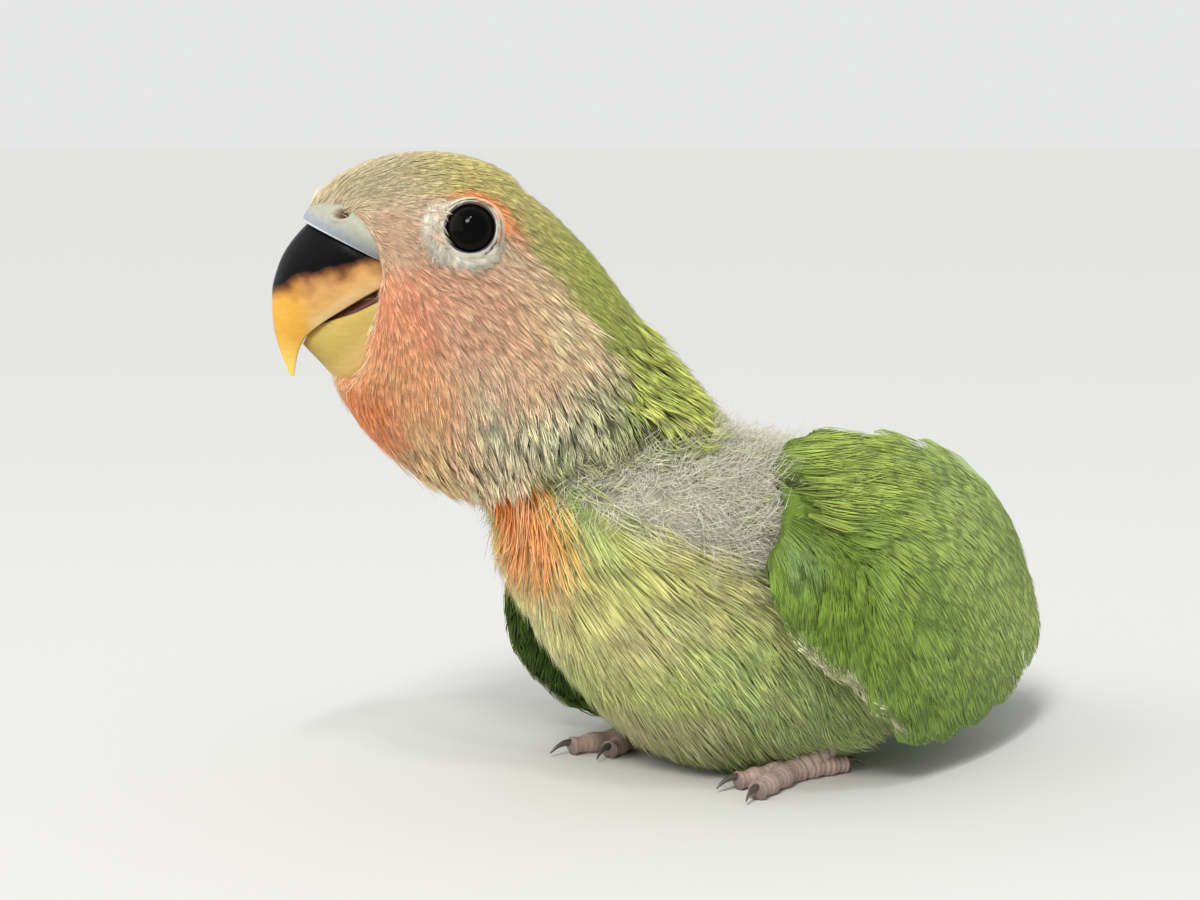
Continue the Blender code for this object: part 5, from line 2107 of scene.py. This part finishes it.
    def base(self) -> MeshData:
        """The arm and the skin round it, thick at the hub and thin at the rim.

        Returns:
            A closed mesh with its tint, darkened as painted shade under the feathers.
        """
        rings, sides = 18, 96
        angles = -180.0 + 360.0 * np.arange(sides) / sides
        reach = self.outline_at(WING_CORE_OUTLINE, angles)
        points, tints = [], []
        for face in (1, -1):
            for ring in range(rings + 1):
                share = ring / rings
                thin = math.sqrt(max(0.0, 1.0 - share ** 3))
                flat = self.at(angles, reach * share)
                lift = -0.35 + 0.2 * thin if face > 0 else -0.7 - (self.thickness - 0.5) * thin
                points.append(self.surface(flat[:, 0], flat[:, 1], np.full(sides, lift)))
                # Painted shade: the base under the feathers is half the wing's green on top and 0.6 of the
                # underside's tint below
                colour = repeated(self.green, sides) * 0.5
                tints.append(colour if face > 0 else self.under_tint(points[-1]) * 0.6)
        points = np.concatenate(points)
        sheet = grid_triangles(rings + 1, sides, closed=True)
        under = sheet[:, ::-1] + (rings + 1) * sides
        last, size = rings * sides, (rings + 1) * sides
        around = last + np.arange(sides)
        beside = last + (np.arange(sides) + 1) % sides
        wall = [
            np.stack([around, beside + size, beside], 1),
            np.stack([around, around + size, beside + size], 1),
        ]
        triangles = np.concatenate([sheet, under, *wall])
        keep = np.linalg.norm(crosses(points, triangles), axis=1) > NO_AREA
        triangles = turned_outwards(points, triangles[keep])
        return MeshData(points, triangles, np.concatenate(tints))

    def gap(self, back: Array, up: Array) -> Array:
        """How near places round the hub are to the gap between scapulars and wrist, painted dark as shadow.
        """
        return np.exp(-(((back + 4.8) / 1.7) ** 2) - ((up - 6.6) / 2.8) ** 2)

    def tinted(self, points: Array, chance: np.random.Generator) -> Array:
        """Greens over the wing: cool towards the lower front, yellower above, teal grey at the wrist, painted
        shadow in the gap.

        Args:
            points: Rows of drawing points.
            chance: The seeded source of random numbers.

        Returns:
            A linear colour for each.
        """
        centre = self.centre()
        back, up = points[:, 1] - centre[1], points[:, 2] - centre[2]
        colour = repeated(self.green, len(points))
        colour = blend(colour, self.bright, 0.9 * rise(0.5 * up + 0.6 * back, -2.0, 12.0))
        patch = Patches(7.0, 8).at(points)
        colour = blend(colour, self.bright, 0.22 * np.clip(patch, 0.0, 1.0))
        colour = blend(colour, self.cool, 0.3 * np.clip(-patch, 0.0, 1.0))
        colour = blend(colour, self.cool, 0.5 * rise(-up - 0.3 * back, 2.0, 14.0))
        colour = blend(colour, self.wrist, 0.5 * np.exp(-((np.hypot(back + 6.8, up - 1.2) / 2.4) ** 2)))
        # Painted shadow: nearly black in the gap between scapulars and wrist
        colour = blend(colour, self.gap_shadow, 0.95 * self.gap(back, up))
        tone = 1.0 + chance.normal(0.0, 0.03, (len(points), 1))
        return colour * (tone + chance.normal(0.0, 0.02, (len(points), 3)))

    def centre(self) -> Array:
        """The hub on the wing's outer face."""
        hub = (self.hub[0], self.hub[1] - self.drop, 0.0)
        return self.surface(*(np.array([value]) for value in hub))[0]

    def build_tiers(self, chance: np.random.Generator) -> list[MeshData]:
        """All the vanes, the longest first.

        Args:
            chance: The seeded source of random numbers.

        Returns:
            A mesh for each vane.
        """
        blades = Vanes()
        made = []
        for tier in self.tiers:
            for index in range(tier.count):
                angle = tier.angles[0] + (tier.angles[1] - tier.angles[0]) * index / (tier.count - 1)
                reach = float(self.outline_at(WING_TIP_OUTLINE, np.array([angle]))[0]) * tier.reach
                reach += chance.uniform(-0.7, 0.7)
                angle += chance.normal(0.0, 0.9)
                tip = self.at(np.array(angle), np.array(reach))
                root = self.at(np.array(angle + tier.turn), np.array(max(1.0, reach - tier.length)))
                spot = self.surface(tip[None, 0], tip[None, 1], np.zeros(1))
                colour = self.tinted(spot, chance)[0] * tier.shade
                edge = colour * 1.04
                lifts = (tier.lift - 0.7, tier.lift + tier.rise)
                width = tier.half_width * chance.uniform(0.93, 1.07)
                vane = blades.make(self.surface, root, tip, width, lifts, colour, edge, 0.7, 0.3, chance)
                made.append(vane)
        return made

    def combed(self, points: Array) -> Array:
        """The small feathers' lie, as drawing vectors.

        Args:
            points: Rows of drawing points.

        Returns:
            A unit vector for each.
        """
        centre = self.centre()
        round_hub = np.degrees(np.arctan2(points[:, 2] - centre[2], points[:, 1] - centre[1]))
        angle = np.radians(np.interp(round_hub, self.lie_directions, self.lie_angles) + self.droop * 0.5)
        return np.stack([np.zeros(len(points)), np.cos(angle), -np.sin(angle)], 1)

    def sheet(self) -> tuple[MeshData, Array]:
        """The even surface over the tiers that carries the small feathers.

        Returns:
            The surface, and each point's share of its reach.
        """
        rings, sides = 30, 120
        angles = -180.0 + 360.0 * np.arange(sides) / sides
        reach = self.outline_at(WING_CORE_OUTLINE, angles)
        within = (angles > WING_TIP_OUTLINE[0][0]) & (angles < WING_TIP_OUTLINE[-1][0])
        reach = np.maximum(reach, within * self.outline_at(WING_TIP_OUTLINE, angles))
        points, shares = [], []
        for ring in range(rings + 1):
            share = ring / rings
            flat = self.at(angles, reach * share)
            points.append(self.surface(flat[:, 0], flat[:, 1], np.full(sides, 0.45 - 0.8 * share ** 2)))
            shares.append(np.full(sides, share))
        points = np.concatenate(points)
        triangles = grid_triangles(rings + 1, sides, closed=True)
        cross = crosses(points, triangles)
        if cross[:, 0].sum() * self.side < 0:
            triangles = triangles[:, ::-1]
        keep = np.linalg.norm(cross, axis=1) > NO_AREA
        return MeshData(points, triangles[keep]), np.concatenate(shares)

    def build_small(self, chance: np.random.Generator) -> MeshData:
        """Velvety feathers over wrist, edge and arm, broad soft ones behind, and long scapulars above.

        Args:
            chance: The seeded source of random numbers.

        Returns:
            All of them as one mesh.
        """
        sheet, shares = self.sheet()
        pelt = Pelt(sheet.points, sheet.triangles, self.combed(sheet.points), sheet.points)
        centre = self.centre()
        back, up = pelt.middles[:, 1] - centre[1], pelt.middles[:, 2] - centre[2]
        share = shares[pelt.triangles].mean(1)
        direction = np.degrees(np.arctan2(up, back))
        rear = rise(back - 0.3 * up, 0.0, 17.0) * (direction > -80.0)
        parted = 1.0 - 0.92 * self.gap(back, up + 1.0)
        density = self.velvet_density * (1.0 - 0.45 * rear) * (1.0 - rise(share, 0.9, 0.98) * rear) * parted
        roots, faces = pelt.scatter(density, chance)
        colours = self.tinted(roots, chance)
        below = -direction[faces]
        hem = rise(share[faces], 0.8, 0.88) * rise(below, 62.0, 75.0) * (1.0 - rise(below, 130.0, 150.0))
        colours = blend(colours, self.lining, 0.85 * hem)
        velvet = lay_tufts(pelt, self.velvet, roots, colours, chance, 0.75 + 0.3 * share[faces])
        rim = 0.88 + 0.08 * rise(direction, -30.0, 10.0)
        density = self.soft_density * rise(back - 0.3 * up, -4.0, 8.0) * (direction > -80.0)
        density = density * (1.0 - rise(share - rim, -0.03, 0.04))
        roots, _ = pelt.scatter(density, chance)
        broad = lay_tufts(pelt, self.soft, roots, self.tinted(roots, chance), chance)
        density = rise(up, 3.0, 6.0) * (1.0 - rise(back, 4.0, 16.0))
        density = density * rise(back, -7.5, -5.0) * self.plume_density * parted
        roots, _ = pelt.scatter(density, chance)
        colours = self.tinted(roots, chance)
        colours = blend(colours, self.scapular, chance.uniform(0.3, 0.9, len(roots)))
        return MeshData.joined([velvet, broad, lay_tufts(pelt, self.plume, roots, colours, chance)])

    def build_under(self, base: MeshData, chance: np.random.Generator) -> MeshData:
        """Small soft feathers over the underside.

        Args:
            base: The wing's base.
            chance: The seeded source of random numbers.

        Returns:
            All of them as one mesh.
        """
        pelt = Pelt(base.points, base.triangles, self.combed(base.points), base.points)
        density = np.where(pelt.face_normals[:, 0] * self.side < -0.1, self.fluff_density, 0.0)
        roots, _ = pelt.scatter(density, chance)
        tone = 1.0 + chance.normal(0.0, 0.08, (len(roots), 1))
        return lay_tufts(pelt, self.fluff, roots, self.under_tint(roots) * tone, chance)

    def build(self, chance: np.random.Generator) -> None:
        """Adds the base, the vanes and the short feathers.

        Args:
            chance: The seeded source of random numbers.
        """
        base = self.base()
        flesh = add_mesh(self.name + "_base", base, self.drawing, self.small_finish)
        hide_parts(self.name)
        vanes = Vanes.in_cells(self.build_tiers(chance))
        piece = add_mesh(self.name + "_vanes", vanes, self.drawing, self.finish)
        small = self.build_small(chance)
        under = self.build_under(base, chance)
        for word, data in (("small_feathers", small), ("lining", under)):
            for index, part in enumerate(split(data)):
                label = f"{self.name}_{word}_{index + 1}"
                piece = add_mesh(label, part, self.drawing, self.small_finish)
        log.info("%s: %d triangles", self.name, sum(len(data.triangles) for data in (vanes, small, under)))


@dataclass
class Tail:
    """A short tail: flight vanes under rows of coverts."""

    drawing: Drawing
    finish: bpy.types.Material
    root: tuple[float, float] = (24.0, 17.5)
    slope: float = 0.34
    roof: float = 0.055
    green: Colour = paint(112, 150, 66)

    def surface(self, aside: Array, back: Array, lift: Array) -> Array:
        """Drawing points on the tail's low roof."""
        up = self.root[1] - self.slope * (back - self.root[0]) - self.roof * aside ** 2 + lift
        return np.stack([aside, back, up], -1)

    def build(self, chance: np.random.Generator) -> None:
        """Adds the vanes as one piece that stands for the tail.

        Args:
            chance: The seeded source of random numbers.
        """
        blades = Vanes()
        made = []
        for count, root_gap, tip_gap, start, end, taper, width, lift in (
            (12, 0.5, 1.15, 24.0, 42.3, 0.55, 1.9, -0.5),
            (11, 0.6, 1.2, 21.0, 36.5, 0.5, 1.8, 0.0),
            (9, 0.7, 1.3, 19.0, 31.0, 0.5, 1.8, 0.5),
            (9, 0.7, 1.3, 20.0, 35.0, 0.5, 1.9, -1.3),
        ):
            for index in range(count):
                place = index - (count - 1) / 2
                root = np.array([place * root_gap, start])
                tip = np.array([place * tip_gap, end - abs(place) * taper + chance.uniform(-0.3, 0.3)])
                colour = np.array(self.green) * (1.0 + chance.normal(0.0, 0.05))
                height = lift - 0.09 * abs(place)
                lifts, edge, roll = (height, height + 0.2), colour * 0.8, 0.12 * place
                vane = blades.make(self.surface, root, tip, width, lifts, colour, edge, 0.0, roll, chance)
                made.append(vane)
        piece = add_mesh("tail_vanes", Vanes.in_cells(made), self.drawing, self.finish)
        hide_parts("tail")


@dataclass
class Foot:
    """Two toes forward and two back, with ringed scutes, pads and hooked claws."""

    side: Side
    drawing: Drawing
    joint: Place = (11.0, -9.0, 1.0)
    knee: Place = (0.3, 4.5, 1.8)
    end: Place = (0.7, 9.0, 4.8)
    toes: tuple[Place, ...] = (
        (-14.0, 7.0, 1.15),
        (16.0, 8.8, 1.2),
        (166.0, 6.6, 1.1),
        (-158.0, 5.0, 1.0),
    )
    # Places along and above a toe, and along and above its claw
    arch: tuple[tuple[float, float], ...] = ((0.0, 0.15), (0.35, 0.1), (0.7, 0.0), (1.0, -0.05))
    hook: tuple[tuple[float, float], ...] = ((-0.6, 0.25), (0.7, 0.45), (1.8, 0.1), (2.6, -0.5))
    sides: int = 20
    claw_rings: int = 18
    scute: Colour = paint(176, 152, 140)
    groove: Colour = paint(120, 104, 98)
    claw: Colour = paint(74, 66, 62)

    def tube(self, path: Array, radii: Array, tints: Array) -> MeshData:
        """A closed tapered tube along points.

        Args:
            path: The points.
            radii: The tube's radius at each.
            tints: Its colour at each.

        Returns:
            The tube.
        """
        ahead = unit(np.gradient(path, axis=0))
        across = unit(np.cross(ahead, (0.0, 0.0, 1.0)))
        upward = np.cross(across, ahead)
        angle = 2 * math.pi * np.arange(self.sides) / self.sides
        cosine, sine = np.cos(angle)[None, :, None], np.sin(angle)[None, :, None]
        ring = across[:, None] * cosine + upward[:, None] * sine
        points = (path[:, None] + ring * radii[:, None, None]).reshape(-1, 3)
        rows = len(path)
        triangles = [grid_triangles(rows, self.sides, closed=True)]
        for row, way in ((0, -1.0), (rows - 1, 1.0)):
            triangles.append(fan(row, self.sides, len(points)))
            points = np.concatenate([points, [path[row] + ahead[row] * way * radii[row] * 0.6]])
        colours = np.concatenate([np.repeat(tints, self.sides, 0), tints[:1], tints[-1:]])
        points[:, 2] = np.maximum(points[:, 2], FLOOR)
        return MeshData(points, turned_outwards(points, np.concatenate(triangles)), colours)

    def limb(self, path: Array, start: float, end: float, scutes: int, pads: int) -> MeshData:
        """A toe or shank with scutes along it.

        Args:
            path: The points that it bends through.
            start: Its first radius.
            end: Its last radius.
            scutes: How many scutes it has.
            pads: How many pads it swells into.

        Returns:
            The limb.
        """
        count = scutes * 6
        share = np.linspace(0.0, 1.0, count)
        line = curve_through(path, share * (len(path) - 1) * 0.9999)
        tooth = (share * scutes) % 1.0
        padded = 1.0 + 0.10 * np.cos(share * pads * 2 * math.pi)
        radii = (start + (end - start) * share) * padded * (0.96 + 0.07 * tooth)
        tint = blend(repeated(self.scute, count), self.groove, rise(np.abs(tooth - 0.5), 0.3, 0.5))
        return self.tube(line, radii, tint)

    def build(self) -> None:
        """Adds the foot and its claws."""
        mirrored = np.array([self.side, 1.0, 1.0])
        joint = np.array(self.joint) * mirrored + np.array([0.0, 0.0, FLOOR])
        bones = [joint, joint + np.array(self.knee) * mirrored, joint + np.array(self.end) * mirrored]
        parts = [self.limb(np.array(bones), 1.3, 1.25, 9, 0)]
        claws = []
        for heading, length, radius in self.toes:
            angle = math.radians(heading * self.side)
            way = np.array([math.sin(angle), -math.cos(angle), 0.0])
            arch = [joint + way * length * part + np.array([0, 0, lift]) for part, lift in self.arch]
            parts.append(self.limb(np.array(arch), radius * 1.1, radius * 0.78, int(length * 1.6), 3))
            hook = [arch[-1] + way * ahead + np.array([0, 0, up]) for ahead, up in self.hook]
            line = curve_through(np.array(hook), np.linspace(0, 3 * 0.9999, self.claw_rings))
            radii = np.linspace(0.5, 0.06, self.claw_rings)
            claws.append(self.tube(line, radii, repeated(self.claw, self.claw_rings)))
        name = "foot_" + self.side.word
        finish = TintFinish(0.55, 0.0, 0.45, 0.12, 2200.0, 0.35, 0.1)
        scaly = finish.make("scaly skin " + name)
        piece = add_mesh(name + "_skin", MeshData.joined(parts), self.drawing, scaly)
        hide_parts(name)
        horn = TintFinish(0.3, 0.0, 0.5, 0.1, 2600.0).make("claw horn " + name)
        piece = add_mesh(name + "_claws", MeshData.joined(claws), self.drawing, horn)


@dataclass
class Studio:
    """The floor, the soft lights and the camera at the photo's angle. Places are in metres."""

    camera_place: Place = (0.17684, -0.19900, 0.06600)
    camera_azimuth: float = 45.0
    camera_pitch: float = 7.0
    lens: float = 75.0
    world: Colour = (0.99, 0.995, 1.0)
    world_strength: float = 0.8
    key_way: Place = (0.35, -0.65, 0.65)
    fill_way: Place = (-0.54, -0.83, 0.14)
    # Each small lamp's name, place, size and power
    glints: tuple[tuple[str, Place, float, float], ...] = (
        ("glint", (0.21, -0.25, 0.60), 0.022, 0.4),
        ("second glint", (0.20, -0.27, 0.54), 0.02, 0.32),
        ("low glint", (0.19, -0.30, 0.46), 0.018, 0.25),
    )

    def add_camera(self) -> None:
        """The camera, which looks level but for a few degrees down."""
        data = bpy.data.cameras.new("camera")
        data.lens = self.lens
        data.sensor_width = 36.0
        data.clip_start = 0.01
        camera = put("camera", data)
        camera.location = self.camera_place
        pitch, azimuth = math.radians(90.0 - self.camera_pitch), math.radians(self.camera_azimuth)
        camera.rotation_euler = (pitch, 0.0, azimuth)
        bpy.context.scene.camera = camera

    def add_floor(self) -> None:
        """A wide pale floor."""
        deselect()
        bpy.ops.mesh.primitive_plane_add(size=60.0, location=(0.0, 0.0, 0.0))
        floor = bpy.context.object
        floor.name = "floor"
        bpy.ops.object.transform_apply(location=True, rotation=True, scale=True)
        floor.data.materials.append(FloorFinish().make("pale floor"))

    def add_sun(self, name: str, way: tuple, strength: float, width: float) -> None:
        """A far wide light: its way is towards it, and its width is in degrees.

        Args:
            name: The light's name.
            way: The direction towards it.
            strength: Its strength.
            width: How wide it looks.
        """
        data = bpy.data.lights.new(name, "SUN")
        data.energy = strength
        data.angle = math.radians(width)
        data.color = (1.0, 0.985, 0.96)
        put(name, data).rotation_euler = Vector(way).to_track_quat("Z", "Y").to_euler()

    def add_lamp(self, name: str, place: tuple, size: float, power: float) -> None:
        """A small square lamp that faces the bird.

        Args:
            name: The lamp's name.
            place: Where it stands.
            size: Its side.
            power: Its power.
        """
        data = bpy.data.lights.new(name, "AREA")
        data.size = size
        data.energy = power
        lamp = put(name, data)
        lamp.location = place
        towards = Vector((0.0, -0.01, 0.03)) - Vector(place)
        lamp.rotation_euler = towards.to_track_quat("-Z", "Y").to_euler()

    def add_lights(self) -> None:
        """A pale sky, a soft key from above and small lamps that glint in the eye."""
        world = bpy.data.worlds.new("studio")
        world.use_nodes = True
        background = world.node_tree.nodes["Background"]
        background.inputs["Color"].default_value = (*self.world, 1.0)
        background.inputs["Strength"].default_value = self.world_strength
        bpy.context.scene.world = world
        self.add_sun("key", self.key_way, 1.85, 13.0)
        self.add_sun("fill", self.fill_way, 1.7, 90.0)
        for name, place, size, power in self.glints:
            self.add_lamp(name, place, size, power)
        bpy.context.scene.view_settings.view_transform = "Standard"


def main() -> None:
    """Builds every piece in order."""
    logging.basicConfig(level=logging.INFO, format="%(message)s")
    studio = Studio()
    studio.add_camera()
    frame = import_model()
    drawing = Drawing.from_eye()
    studio.add_floor()
    studio.add_lights()
    chance = np.random.default_rng(SEED)
    skin = Skin(frame["nodes"], drawing)
    pelt = skin.build()
    skin.dress(pelt)
    log.info("skin: %d triangles", len(pelt.triangles))
    coat = Coat(pelt, skin, drawing, chance)
    coat.build()
    Bill(drawing, coat.finish, chance).build()
    for side in Side:
        Eye(side, drawing, pelt, coat.finish).build(chance)
    vane_finish = VaneFinish().make("feather vanes")
    small_finish = TintFinish(roughness=0.7, sheen=0.08, specular=0.2).make("wing feathers")
    Wing(Side.LEFT, 0.0, 0.0, drawing, vane_finish, small_finish).build(chance)
    Wing(Side.RIGHT, 9.0, 6.5, drawing, vane_finish, small_finish).build(chance)
    Tail(drawing, vane_finish).build(chance)
    for side in Side:
        Foot(side, drawing).build()
    deselect()


if __name__ == "__main__":
    main()
